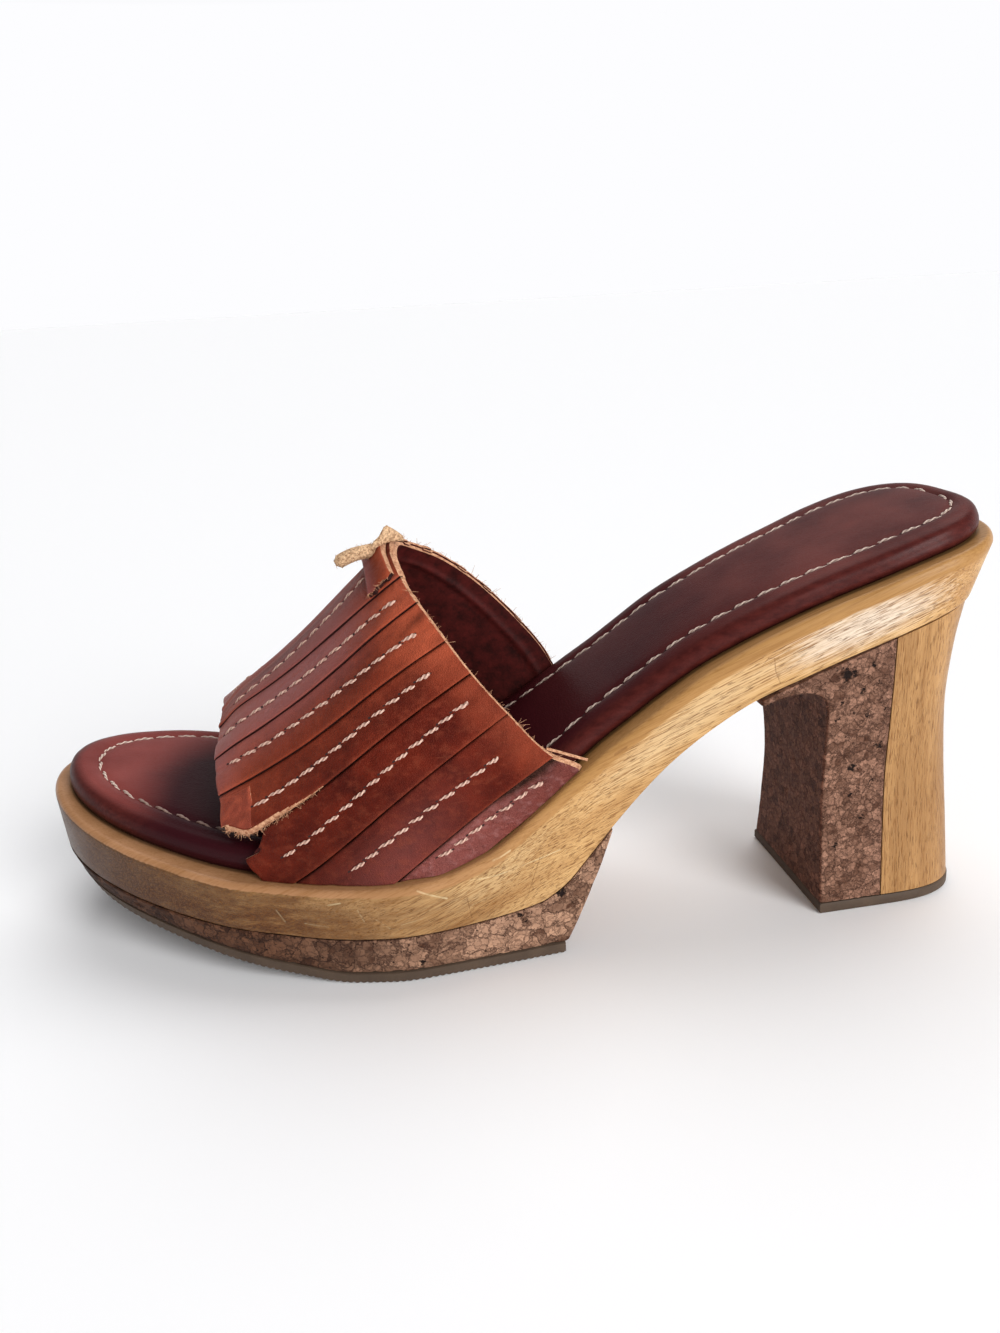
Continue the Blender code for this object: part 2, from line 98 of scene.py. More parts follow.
def add_node(tree, label, *values, out=None, **settings):
    """Output of a new node; its values are numbers, hex colours or outputs, in order or by socket name."""
    kind, _, operation = label.partition(".")
    node = tree.nodes.new("ShaderNode" + kind)
    if kind == "Mix":
        settings["data_type"] = "RGBA"
    if operation:
        settings["operation"] = operation
    for name, value in settings.items():
        setattr(node, name, value)
    named = values and isinstance(values[0], dict)
    sockets = values[0] if named else dict(zip(SOCKETS.get(label, FIRST_SOCKETS), values))
    for name, value in sockets.items():
        if isinstance(value, bpy.types.NodeSocket):
            tree.links.new(value, node.inputs[name])
        else:
            node.inputs[name].default_value = linear(value) if isinstance(value, str) else value
    return node.outputs[OUTPUTS.get(label, 0) if out is None else out] if node.outputs else None


def new_finish(name):
    """Empty material, and the function that adds nodes to it."""
    material = bpy.data.materials.new(name)
    material.use_nodes = True
    material.node_tree.nodes.clear()
    return material, partial(add_node, material.node_tree)


def paint(add, color, tint, *shares):
    """Colour with a tint laid over it as far as the product of its shares."""
    share = shares[0]
    for other in shares[1:]:
        share = add("Math.MULTIPLY", share, other)
    return add("Mix", share, color, tint)


print("honey wood in linear light:", [round(c, 3) for c in linear("#c9a064")])

# %% Floor, world and lamps
FLOOR_HALF = 30.0
BACKDROP = 1.0
CEILING = 0.24
# heights and directions between which the white wall ends
WALL_TOP = (0.34, 0.22)
WALL_SIDES = (-0.9, 0.4)
# heights between which the other sides of the tent brighten towards the floor, and how far
SKIRTS = ((0.46, 0.24, 0.7), (0.2, 0.0, 0.96))
# direction towards each sun, its strength and its width in degrees
SUNS = {
    "low_front_sun": ((0.5, -0.9, 0.62), 2.15, 32.0),
    "high_back_sun": ((0.25, 0.5, 1.0), 1.35, 50.0),
}
GLARE_PLACE = Vector((0.75, -0.95, 0.10))
GLARE_AIM = Vector((0.07, -0.04, 0.075))
GLARE_SIZE = (0.5, 0.35)
GLARE_POWER = 5.0

# the tent is white towards the backdrop, up to a little above the horizon, and dim elsewhere
world = bpy.data.worlds.new("light_tent")
world.use_nodes = True
world.node_tree.nodes.clear()
add = partial(add_node, world.node_tree)
ray = add("TexCoord", out="Generated")
ray_height = add("SeparateXYZ", ray, out="Z")
ray_depth = add("SeparateXYZ", ray, out="Y")
low = add("MapRange", ray_height, *WALL_TOP)
back = add("MapRange", ray_depth, *WALL_SIDES)
wall = add("Math.MULTIPLY", low, back)
for top, foot, share in SKIRTS:
    skirt = add("MapRange", ray_height, top, foot, 0, share)
    wall = add("Math.MAXIMUM", wall, skirt)
strength = add("MapRange", wall, 0, 1, CEILING, BACKDROP)
glow = add("Background", "#fdfdff", strength)
add("OutputWorld", glow)
bpy.context.scene.world = world
bpy.context.scene.view_settings.view_transform = "Standard"

# plain paper: an even, pale floor without gloss
floor_finish, add = new_finish("matt_white_paper")
paper = add("BsdfPrincipled", {"Base Color": "#f9f9fa", "Roughness": 0.75})
add("OutputMaterial", paper)
floor_mesh = bpy.data.meshes.new("floor")
corners = [(x * FLOOR_HALF, y * FLOOR_HALF, 0) for x, y in ((-1, -1), (1, -1), (1, 1), (-1, 1))]
floor_mesh.from_pydata(corners, [], [(0, 1, 2, 3)])
floor_mesh.materials.append(floor_finish)
floor = bpy.data.objects.new("floor", floor_mesh)
bpy.context.scene.collection.objects.link(floor)


def add_lamp(name, kind, power, place, aim):
    """A lamp at a place, turned towards its aim."""
    lamp = bpy.data.lights.new(name, kind)
    lamp.energy = power
    holder = bpy.data.objects.new(name, lamp)
    holder.location = place
    holder.rotation_euler = (aim - place).to_track_quat("-Z", "Y").to_euler()
    bpy.context.scene.collection.objects.link(holder)
    return lamp


for name, (place, strength, width) in SUNS.items():
    sun = add_lamp(name, "SUN", strength, Vector(place), Vector())
    sun.angle = math.radians(width)
glare = add_lamp("low_right_lamp", "AREA", GLARE_POWER, GLARE_PLACE, GLARE_AIM)
glare.shape = "RECTANGLE"
glare.size = GLARE_SIZE[0]
glare.size_y = GLARE_SIZE[1]
print("lights:", ", ".join(SUNS), "and", glare.name)

# %% [markdown]
# ## The last's sizes
# Every piece follows the same few curves: the plan of the board's rim, its side view, and the ridge of the
# band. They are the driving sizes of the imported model, in millimetres, so the finer meshes lie exactly
# where its solids lie. A table with a smooth curve through its rows is easier to read and to change than
# control points of a spline.

# %% Tables of the last
MM = 0.001
GAP = 0.3
CENTRE = np.array((2.03, 1.51, 0.0))
TOE_TIP = -113.0
HEEL_TIP = 117.0
TOE_ROUND = 52.0
HEEL_ROUND = 29.0
TOE_POWER = 2.0
HEEL_POWER = 3.0
# turns of the sections in the rounded ends
TOE_TURNS = np.radians(np.arange(1, 87, 1.5))
HEEL_TURNS = np.radians(np.arange(3, 89.8, 1.4))

# place along the shoe, middle line and half width of the rim
PLAN = (
    (-113, 17.0, 42.5), (-89, 12.5, 42.0), (-61, 4.2, 42.4), (-46, 0.8, 43.6), (-34, -2.8, 42.8),
    (-22, -6.4, 39.4), (-7, -9.6, 34.4), (8, -11.0, 30.3), (20, -11.4, 28.6), (36, -11.7, 28.0),
    (53, -11.8, 28.1), (73, -11.0, 29.3), (88, -10.2, 30.7), (118, -10.0, 30.7),
)
# place along the shoe, top face and underside of the board
BOARD = (
    (-113, 37.0, 23.0), (-100, 33.2, 20.0), (-87, 30.2, 17.3), (-62, 26.4, 14.0), (-40, 25.2, 12.4),
    (-24, 25.9, 12.6), (-12, 29.0, 13.3), (1, 36.9, 14.8), (7, 41.2, 17.8), (13, 45.5, 23.8),
    (19, 49.8, 30.4), (26, 54.4, 37.8), (33, 59.2, 44.3), (42, 65.0, 50.9), (53, 70.4, 57.1),
    (65, 75.3, 61.6), (80, 80.4, 67.0), (98, 86.0, 73.0), (118, 90.5, 78.5),
)
# place along the shoe and underside of the rubber sole, and of the platform's sloping rear face
TREAD = ((-113, 16.0), (-98, 12.0), (-82, 8.2), (-68, 4.9), (-55, 2.0), (-42, 0.0), (7, 0.0))
BREAST = ((7, 2.0), (10, 7.8), (13, 14.2), (16, 20.9), (19, 29.4))
BREAST_FOOT = 7.0
BREAST_TIP = 19.0
SOLE_THICKNESS = 2.8


def smooth(table, column, x):
    """Column of a table at x: a cubic through the rows that never overshoots them."""
    rows = np.array(table, float)
    xs = rows[:, 0]
    ys = rows[:, column]
    slopes = np.diff(ys) / np.diff(xs)
    same_way = slopes[:-1] * slopes[1:] > 0
    total = np.where(same_way, slopes[:-1] + slopes[1:], 1.0)
    inner = np.where(same_way, 2 * slopes[:-1] * slopes[1:] / total, 0.0)
    tangents = np.concatenate([slopes[:1], inner, slopes[-1:]])
    x = np.clip(x, xs[0], xs[-1])
    i = np.clip(np.searchsorted(xs, x, side="right") - 1, 0, len(xs) - 2)
    step = xs[i + 1] - xs[i]
    t = (x - xs[i]) / step
    start = (1 + 2 * t) * (1 - t) ** 2 * ys[i] + t * (1 - t) ** 2 * step * tangents[i]
    return start + t * t * (3 - 2 * t) * ys[i + 1] + t * t * (t - 1) * step * tangents[i + 1]


def fade(x, start, end):
    """Soft step from 0 at start to 1 at end."""
    t = np.clip((np.asarray(x, float) - start) / (end - start), 0, 1)
    return t * t * (3 - 2 * t)


def blend(pair, share):
    """Value between the two of a pair."""
    return pair[0] + (pair[1] - pair[0]) * share


def top_face(x):
    return smooth(BOARD, 1, x)


def underside(x):
    return smooth(BOARD, 2, x)


def tread(x):
    return smooth(TREAD, 1, x)


print("board at the ball:", round(float(top_face(-40) - underside(-40)), 1), "mm thick")

# %% Outline of the rim
def toe_share(station):
    """How far a station lies into the rounded toe: 0 where the rounding starts, 1 at the tip."""
    return np.clip((TOE_TIP + TOE_ROUND - station) / TOE_ROUND, 0, 1)


def heel_share(station):
    """How far a station lies into the rounded heel end: 0 where the rounding starts, 1 at the tip."""
    return np.clip((station - HEEL_TIP + HEEL_ROUND) / HEEL_ROUND, 0, 1)


def outline(station, inset, toe_inset=None, heel_inset=None):
    """Place along the shoe, outer edge and inner edge of the rim's plan moved in by an inset."""
    toe_inset = inset if toe_inset is None else toe_inset
    heel_inset = inset if heel_inset is None else heel_inset
    x = station + toe_inset * toe_share(station) - heel_inset * heel_share(station)
    toe = (1 - toe_share(station) ** TOE_POWER) ** (1 / TOE_POWER)
    heel = (1 - heel_share(station) ** HEEL_POWER) ** (1 / HEEL_POWER)
    middle = smooth(PLAN, 1, station)
    half = (smooth(PLAN, 2, station) - inset) * toe * heel
    return x, middle - half, middle + half


def rim_stations(step):
    """Places of the cross sections, close together in the rounded ends."""
    toe = TOE_TIP + TOE_ROUND * (1 - np.cos(TOE_TURNS))
    heel = HEEL_TIP - HEEL_ROUND * (1 - np.sin(HEEL_TURNS))
    return np.concatenate([toe, np.arange(TOE_TIP + TOE_ROUND, HEEL_TIP - HEEL_ROUND, step), heel])


def level(station, inset, height, toe_inset=None, heel_inset=None):
    """One height of a sole layer, with its z taken at its own place along the shoe."""
    x, near, far = outline(station, inset, toe_inset, heel_inset)
    return np.stack([x, near, far, height(x)], axis=1)


def sections(levels):
    """Rings of a sole layer: up the outer side, over the top, down the inner side."""
    outer = [one[:, (0, 1, 3)] for one in levels]
    inner = [one[:, (0, 2, 3)] for one in reversed(levels)]
    return np.stack(outer + inner, axis=1)


def loft(rings):
    """Points and faces of a closed solid through rings of equally many points."""
    count, around = rings.shape[:2]
    i, j = np.meshgrid(np.arange(count - 1), np.arange(around), indexing="ij")
    k = (j + 1) % around
    corners = (i * around + j, i * around + k, (i + 1) * around + k, (i + 1) * around + j)
    faces = np.stack(corners, axis=-1).reshape(-1, 4)
    rungs = np.arange(around // 2 - 1)
    ladder = np.stack([rungs, rungs + 1, around - 2 - rungs, around - 1 - rungs], axis=1)
    return rings.reshape(-1, 3), np.concatenate([faces, ladder, ladder + (count - 1) * around])


print("stations along the rim:", len(rim_stations(1.5)))

# %% [markdown]
# ## One way to make a piece
# Every mesh below is made the same way: points in millimetres become a mesh in metres, doubled points
# are merged, and the piece rides on the shoe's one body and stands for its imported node. Extra facts about
# each point, such as the run of the wood grain, travel along as attributes that the materials read.

# %% Pieces
SHARP_ANGLE = 42.0
MERGE = 2e-6


def to_frame(points):
    """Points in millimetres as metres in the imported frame."""
    return (np.asarray(points, float) - CENTRE) * MM


def add_piece(name, points, faces, finishes, node=None, slot=None, kinds=None, facts=None):
    """A mesh piece: merged, shaded smooth with crisp edges, dressed and riding on the shoe."""
    mesh = bpy.data.meshes.new(name)
    mesh.from_pydata(to_frame(points).tolist(), [], np.asarray(faces).tolist())
    for fact, values in (facts or {}).items():
        flat = np.asarray(values, np.float32)
        kind, field = ("FLOAT_VECTOR", "vector") if flat.ndim == 2 else ("FLOAT", "value")
        mesh.attributes.new(fact, kind, "POINT").data.foreach_set(field, flat.ravel())
    for finish in finishes:
        mesh.materials.append(finish)
    if kinds is not None:
        mesh.polygons.foreach_set("material_index", np.asarray(kinds, np.int32))
    bm = bmesh.new()
    bm.from_mesh(mesh)
    bmesh.ops.remove_doubles(bm, verts=bm.verts, dist=MERGE)
    bmesh.ops.dissolve_degenerate(bm, edges=bm.edges, dist=MERGE)
    bmesh.ops.recalc_face_normals(bm, faces=bm.faces)
    bm.to_mesh(mesh)
    bm.free()
    mesh.shade_smooth()
    mesh.set_sharp_from_angle(angle=math.radians(SHARP_ANGLE))
    piece = bpy.data.objects.new(name, mesh)
    bpy.context.scene.collection.objects.link(piece)
    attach(piece, "root")
    if node:
        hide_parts(node)
    triangles = sum(len(face.vertices) - 2 for face in mesh.polygons)
    print(f"{name}: {triangles} triangles")
    return piece


def wobble(x, y, z, size, seed=0.0):
    """Smooth noise from -1 to 1 at places in millimetres, with features of one size."""
    places = np.stack(np.broadcast_arrays(x, y, z), axis=-1)
    shift = Vector((seed, seed, seed))
    waves = [noise.noise(Vector(place) / size + shift) for place in places.reshape(-1, 3)]
    return np.reshape(waves, places.shape[:-1])


# %% [markdown]
# ## Lacquered honey hardwood
# The board and the back of the heel are a pale, straight-grained hardwood, planed, sanded and lacquered.
# The eye sees long fine grain lines, short dark pores, a slow change of tone along the plank, and a clear
# gloss over it, with scratches where the lacquer is worn. The board was sawn in its curve out of a straight
# block, so the grain does not follow the curve but cuts through it in short dashes. Three attributes tell the
# material where it is: the run of the grain, the place on the outer side, and the smooth rim.

# %% Marks on the wood
# start and end of each scratch on the outer side as place along the shoe and depth below the top face,
# then its half width and strength: positive ones hold dirt, negative ones are pale scuffed lacquer
SCRATCHES = (
    (-26.8, 1.1, -20.5, 4.9, 0.30, -0.5), (-15.0, 2.9, 6.3, 13.1, 0.16, -0.45),
    (-9.5, 1.4, -5.5, 2.2, 0.35, -0.4), (-64.8, 7.0, -63.2, 7.9, 0.35, 0.45),
    (-46.5, 3.2, -43.8, 2.6, 0.30, -0.3), (-16.0, 6.7, -15.1, 13.0, 0.18, 0.5),
    (1.4, 10.5, -1.8, 17.2, 0.20, 0.5), (54.2, 5.4, 55.6, 4.2, 0.20, 0.5),
    (55.6, 4.2, 57.0, 5.0, 0.22, 0.5), (57.0, 5.0, 57.4, 8.2, 0.22, 0.5),
    (57.4, 8.2, 58.6, 11.8, 0.18, 0.5), (69.8, 5.7, 93.0, 7.5, 0.14, 0.5),
    (72.0, 8.2, 98.0, 9.6, 0.12, 0.5), (20.0, 1.8, 22.6, 2.2, 0.45, 0.5),
    (5.8, 4.4, 7.6, 4.9, 0.40, 0.5), (-58.0, 5.6, -56.4, 8.6, 0.28, -0.16),
    (-52.0, 8.6, -47.0, 9.2, 0.24, -0.18), (-40.2, 4.4, -39.0, 7.6, 0.26, -0.16),
    (-36.4, 7.2, -33.6, 9.8, 0.22, -0.16), (-70.4, 4.6, -69.2, 7.4, 0.30, 0.35),
    (-31.0, 9.2, -25.4, 8.4, 0.20, -0.2), (-54.0, 3.4, -53.4, 5.8, 0.28, 0.35),
)
# place along the shoe, depth, reach along and across, strength and tint of each stretch of the outer side
# painted pale: at the heel a painted highlight for the glare of the lacquer, elsewhere lacquer dulled and
# scuffed pale
GLARE_AND_SCUFF_ZONES = (
    (78.0, 7.0, 26.0, 6.5, 0.75, "#e6d8c6"), (36.0, 7.5, 34.0, 6.5, 0.45, "#dfc59b"),
    (-8.0, 6.0, 20.0, 5.0, 0.4, "#d3b485"), (-106.0, 7.0, 3.0, 3.0, 0.5, "#a39488"),
)
print("scratches:", len(SCRATCHES))

# %% Hardwood material
# length and width in millimetres of slow tone, grain lines, hair lines, and long and short pores, then the
# stretch of each noise that shows
GRAIN = {
    "slow": (70, 6, 0.36, 0.64), "line": (40, 0.6, 0.5, 0.72), "hair": (16, 0.26, 0.5, 0.72),
    "dash": (7.0, 0.3, 0.58, 0.66), "pore": (3.4, 0.26, 0.59, 0.66),
}
# places along the shoe between which the outer side takes painted shade towards its bottom and
# streaks of dirt, and between which the toe grows darker still with painted shade
SHADED_GRIMY_FRONT = (12.0, -55.0)
DARK_TOE = (-46.0, -92.0)
TOE_SHADE = 0.82
OUTER_SIDE = -40.0


def along_board(x):
    """Length along the board's curved top face, from its toe."""
    places = np.arange(TOE_TIP - 6, HEEL_TIP + 6, 0.5)
    steps = np.hypot(np.diff(places), np.diff(top_face(places)))
    return np.interp(x, places, np.concatenate([[0], np.cumsum(steps)]))


def make_hardwood(name, rim_tones, face_tones, front_share, scratches, glare_and_scuff_zones):
    material, add = new_finish(name)
    run = add("Attribute", out="Vector", attribute_name="grain")
    spot = add("Attribute", out="Vector", attribute_name="side_place")
    rim_depth = add("Attribute", attribute_name="rim_depth")
    along = add("SeparateXYZ", spot, out="X")
    across = add("SeparateXYZ", spot, out="Y")
    below = add("SeparateXYZ", spot, out="Z")
    tones = {}
    marks = {}
    for tone, (length, width, start, end) in GRAIN.items():
        squeezed = add("VectorMath.MULTIPLY", run, (1 / length, 1 / width, 1 / width))
        tones[tone] = add("TexNoise", squeezed, 1.0, 2.0, 0.5)
        marks[tone] = add("MapRange", tones[tone], start, end)
    slow, line, hair, dash, pore = marks.values()
    ragged = add("Math.MULTIPLY_ADD", tones["line"], 0.5, rim_depth)
    rim = add("MapRange", ragged, 1.34, 1.18)
    edge = add("Mix", slow, *rim_tones[:2])
    face = add("Mix", slow, *face_tones)
    front = add("MapRange", along, *along_board(SHADED_GRIMY_FRONT), 0, front_share)
    low = add("MapRange", below, 2.5, 8.0, 0.75)
    wiped = add("VectorMath.MULTIPLY", spot, (1 / 9, 1 / 4, 1 / 1.8))
    smudge = add("TexNoise", wiped, 1.0, 6.0, 0.75)
    uneven = add("MapRange", smudge, 0.35, 0.6, 0.75)
    # at the front the outer side darkens unevenly towards its bottom: painted shade
    plank = paint(add, face, "#56331c", front, low, uneven)
    # dirt is smeared over the front in streaks, and between them the lacquer is worn pale
    for start, end, strength, tint in ((0.5, 0.66, 0.5, "#55331a"), (0.48, 0.34, 0.3, "#b88a58")):
        patch = add("MapRange", smudge, start, end)
        plank = paint(add, plank, tint, patch, front, strength)
    # the toe darkens further: painted shade
    toe = add("MapRange", along, *along_board(DARK_TOE), 0, TOE_SHADE * front_share)
    plank = add("Mix", toe, plank, "#371c0d")
    # pale stretches: at the heel a painted highlight for the lacquer's glare, elsewhere scuffed lacquer
    for x, depth, reach, half, strength, tint in glare_and_scuff_zones:
        away = add("VectorMath.SUBTRACT", spot, (along_board(x), OUTER_SIDE, depth))
        scaled = add("VectorMath.MULTIPLY", away, (1 / reach, 1 / 30, 1 / half))
        far = add("VectorMath.LENGTH", scaled)
        streaky = add("Math.MULTIPLY_ADD", tones["hair"], 1.1, far)
        share = add("MapRange", streaky, 1.6, 0.7, 0, strength, interpolation_type="SMOOTHSTEP")
        plank = add("Mix", share, plank, tint)
    # the open grain shows on the sawn side, the rim is filled and smooth
    grain = ((line, 0.35, "#8f6435"), (hair, 0.5, "#7a4d22"), (dash, 0.6, "#74471d"), (pore, 0.6, "#623c19"))
    for mark, strength, tint in grain:
        plank = paint(add, plank, tint, mark, strength)
    # the rounding turning down to the side takes the darker third rim tone, less at the front: painted shade
    bare = add("MapRange", front, 0, 1, 0.85, 0.1)
    turned = add("MapRange", rim_depth, -0.5, 0.2, 0, bare)
    edge = add("Mix", turned, edge, rim_tones[2])
    edge = paint(add, edge, "#8a5f4a", front, 0.42)
    for mark, strength in ((line, 0.4), (hair, 0.3), (pore, 0.25)):
        edge = paint(add, edge, "#7d5226", mark, strength)
    color = add("Mix", rim, plank, edge)
    grime = add("Attribute", attribute_name="grime")
    # painted shadow, with some dirt, along the foot of the insole's pad
    color = add("Mix", grime, color, "#24140c")
    worn = 0.0
    near = add("MapRange", across, -2.0, -6.0)
    broken = add("MapRange", smudge, 0.42, 0.54, 0.2)
    near = add("Math.MULTIPLY", near, broken)
    side_face = add("CombineXYZ", along, below)
    for x0, depth0, x1, depth1, half, strength in scratches:
        start = Vector((along_board(x0), depth0, 0))
        end = Vector((along_board(x1), depth1, 0))
        away = add("VectorMath.SUBTRACT", side_face, start)
        way = (end - start) / (end - start).length_squared
        share = add("VectorMath.DOT_PRODUCT", away, way)
        held = add("Clamp", share)
        foot = add("VectorMath.SCALE", end - start, held)
        gap = add("VectorMath.DISTANCE", away, foot)
        mark = add("MapRange", gap, half, half * 0.3)
        mark = add("Math.MULTIPLY", mark, near)
        color = paint(add, color, "#6b4220" if strength > 0 else "#f0dcae", mark, abs(strength))
        worn = add("Math.MAXIMUM", mark, worn)
    rough = add("MapRange", tones["slow"], 0, 1, 0.26, 0.46)
    dull = add("Math.MULTIPLY_ADD", worn, 0.25, rough)
    cut = add("Math.ADD", pore, worn)
    relief = add("Math.MULTIPLY_ADD", hair, 0.5, cut)
    sawn = add("Math.SUBTRACT", 1.0, rim)
    open_grain = add("Math.MULTIPLY", relief, sawn)
    dents = add("Bump", open_grain, 0.6, 0.12 * MM, invert=True)
    look = {"Base Color": color, "Roughness": dull, "Normal": dents, "IOR": 1.5}
    look.update({"Specular IOR Level": 0.15, "Coat Weight": 0.06, "Coat Roughness": 0.2})
    add("OutputMaterial", add("BsdfPrincipled", look))
    return material


# the third rim tone is painted shade for the rounding where it turns down to the side
RIM_TONES = ("#c09064", "#ad7f52", "#a67b45")
FACE_TONES = ("#cfa670", "#b68a57")
HEEL_TONES = ("#b68b5a", "#9d7448")
hardwood = make_hardwood("lacquered_honey_hardwood", RIM_TONES, FACE_TONES, 1.0, SCRATCHES, GLARE_AND_SCUFF_ZONES)
heel_hardwood = make_hardwood("lacquered_heel_hardwood", ("#b08350",) * 3, HEEL_TONES, 0.0, (), ())
print("hardwood nodes:", len(hardwood.node_tree.nodes))

# %% [markdown]
# ## The board
# The board is one bent plank from toe to heel. Its upper edge is eased with a small rounding, a little
# deeper along the arch and the heel, where the rim shows as a facet of another tone than the side. The
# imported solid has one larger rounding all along, so here the loft is finer and its rounding changes.

# %% Board
# width and depth of the rounded upper edge, in front and behind, and where it changes
EDGE_WIDTH = (1.7, 1.4)
EDGE_DROP = (1.9, 2.2)
EDGE_CHANGE = (-45.0, 5.0)
# depth at which the smooth rim ends, at the toe and behind, and the slant of the straight grain
RIM_DEPTH = (1.3, 3.2)
GRAIN_SLANT = math.radians(22)
# how far the underside lies inside the rim, in front and behind, and where it changes
SIDE_TAPER = (1.3, 0.3)
TAPER_CHANGE = (-20.0, 15.0)
BOARD_TOE_TAPER = 0.8
BOARD_HEEL_TAPER = 5.0
LOWER_EDGE = ((0.6, 0.0), (0.18, 0.18), (0.0, 0.6))
SIDE_STEPS = (0.2, 0.4, 0.6, 0.8)
EDGE_TURNS = np.radians(np.arange(0, 91, 9))
# width of the rim that shows outside the insole, in front and at the heel, and where it changes
LEDGE = (6.3, 4.4)
HEEL_LEDGE = 3.0
LEDGE_CHANGE = (25.0, 65.0)
# how far the last levels lie outside the pad's foot, and how much painted shadow and dirt lies along it
PAD_REACHES = (0.9, 0.2, -1.5)
PAD_SHADOW_AND_GRIME = 0.6


def ledge(station):
    """Width of the board's rim that shows outside the insole."""
    return blend(LEDGE, fade(station, *LEDGE_CHANGE))


def side_taper(station):
    """How far the underside of the board lies inside its rim."""
    return blend(SIDE_TAPER, fade(station, *TAPER_CHANGE))


def board_levels(station):
    taper = side_taper(station)
    change = fade(station, *EDGE_CHANGE)
    width = blend(EDGE_WIDTH, change)
    drop = blend(EDGE_DROP, change)
    levels = []
    for inset, rise in LOWER_EDGE:
        ends = (BOARD_TOE_TAPER + inset, BOARD_HEEL_TAPER + inset)
        levels.append(level(station, taper + inset, lambda x: underside(x) + rise, *ends))
    for t in SIDE_STEPS:
        ends = (BOARD_TOE_TAPER * (1 - t), BOARD_HEEL_TAPER * (1 - t))
        rise = LOWER_EDGE[-1][1] * (1 - t)
        levels.append(level(station, taper * (1 - t),
                            lambda x: (1 - t) * underside(x) + rise + t * (top_face(x) - drop), *ends))
    for turn in EDGE_TURNS:
        inset = width * (1 - math.cos(turn))
        levels.append(level(station, inset, lambda x: top_face(x) - drop * (1 - math.sin(turn))))
    for reach in PAD_REACHES:
        levels.append(level(station, ledge(station) - reach, top_face, LEDGE[1] - reach, HEEL_LEDGE - reach))
    return levels


board_points, board_faces = loft(sections(board_levels(rim_stations(1.5))))
x, y, z = board_points.T
depth = top_face(x) - z
grain = np.stack([x * math.cos(GRAIN_SLANT) + z * math.sin(GRAIN_SLANT), y,
                  z * math.cos(GRAIN_SLANT) - x * math.sin(GRAIN_SLANT)], axis=1)
rim_end = blend(RIM_DEPTH, fade(x, *EDGE_CHANGE))
facts = {"grain": grain, "side_place": np.stack([along_board(x), y, depth], axis=1)}
facts["rim_depth"] = depth / rim_end
clean = np.zeros(len(LOWER_EDGE) + len(SIDE_STEPS) + len(EDGE_TURNS) + 1)
on_edge = np.concatenate([clean, np.full(2 * len(PAD_REACHES) - 2, PAD_SHADOW_AND_GRIME), clean])
facts["grime"] = np.tile(on_edge, len(board_points) // len(on_edge))
add_piece("board", board_points, board_faces, [hardwood], "sole_board", "wood", facts=facts)

# %% [markdown]
# ## Pressed cork
# Cork sheet is bark ground to granules and pressed with glue. Each granule has its own tone, its edges show
# as dark thin seams, and here and there a granule has fallen out and left a pit. The platform is pressed
# from coarse granules of 3 to 6 mm, the heel from finer ones of about 2 mm. Voronoi cells in a warped space
# look like packed granules.

# %% Cork material
# place in the shoe's own sizes and reach of the larger pits
PLATFORM_PITS = (
    (5.9, -40.9, 16.8, 1.5), (-27.1, -43.6, 5.2, 1.0), (-3.9, -42.5, 12.5, 0.8), (-2.6, -42.2, 11.2, 0.9),
)
HEEL_PITS = (
    (74.0, -40.0, 61.4, 1.5), (76.0, -40.0, 61.9, 0.9), (78.2, -39.6, 56.7, 0.9), (73.5, -39.8, 54.6, 0.7),
    (77.4, -38.4, 37.6, 1.0), (83.6, -38.7, 42.5, 0.9), (80.5, -38.2, 24.0, 0.7), (74.0, -38.6, 17.5, 0.8),
    (80.8, -39.9, 63.0, 0.7), (82.6, -39.6, 58.6, 0.6), (72.8, -39.8, 50.2, 0.7), (80.2, -39.2, 50.8, 0.6),
    (75.4, -38.8, 45.4, 0.7), (84.2, -39.2, 52.0, 0.6), (77.6, -38.3, 30.4, 0.7), (82.4, -38.4, 33.2, 0.6),
)
# size of the small granules between the large ones, and how far the pits' edges are torn
SMALL_SHARE = 0.42
TEAR = 4.0


def own_sizes(add):
    """Place of the shaded point in millimetres of the shoe's own sizes."""
    place = add("TexCoord")
    return add("VectorMath.MULTIPLY_ADD", place, (1 / MM,) * 3, Vector(CENTRE))


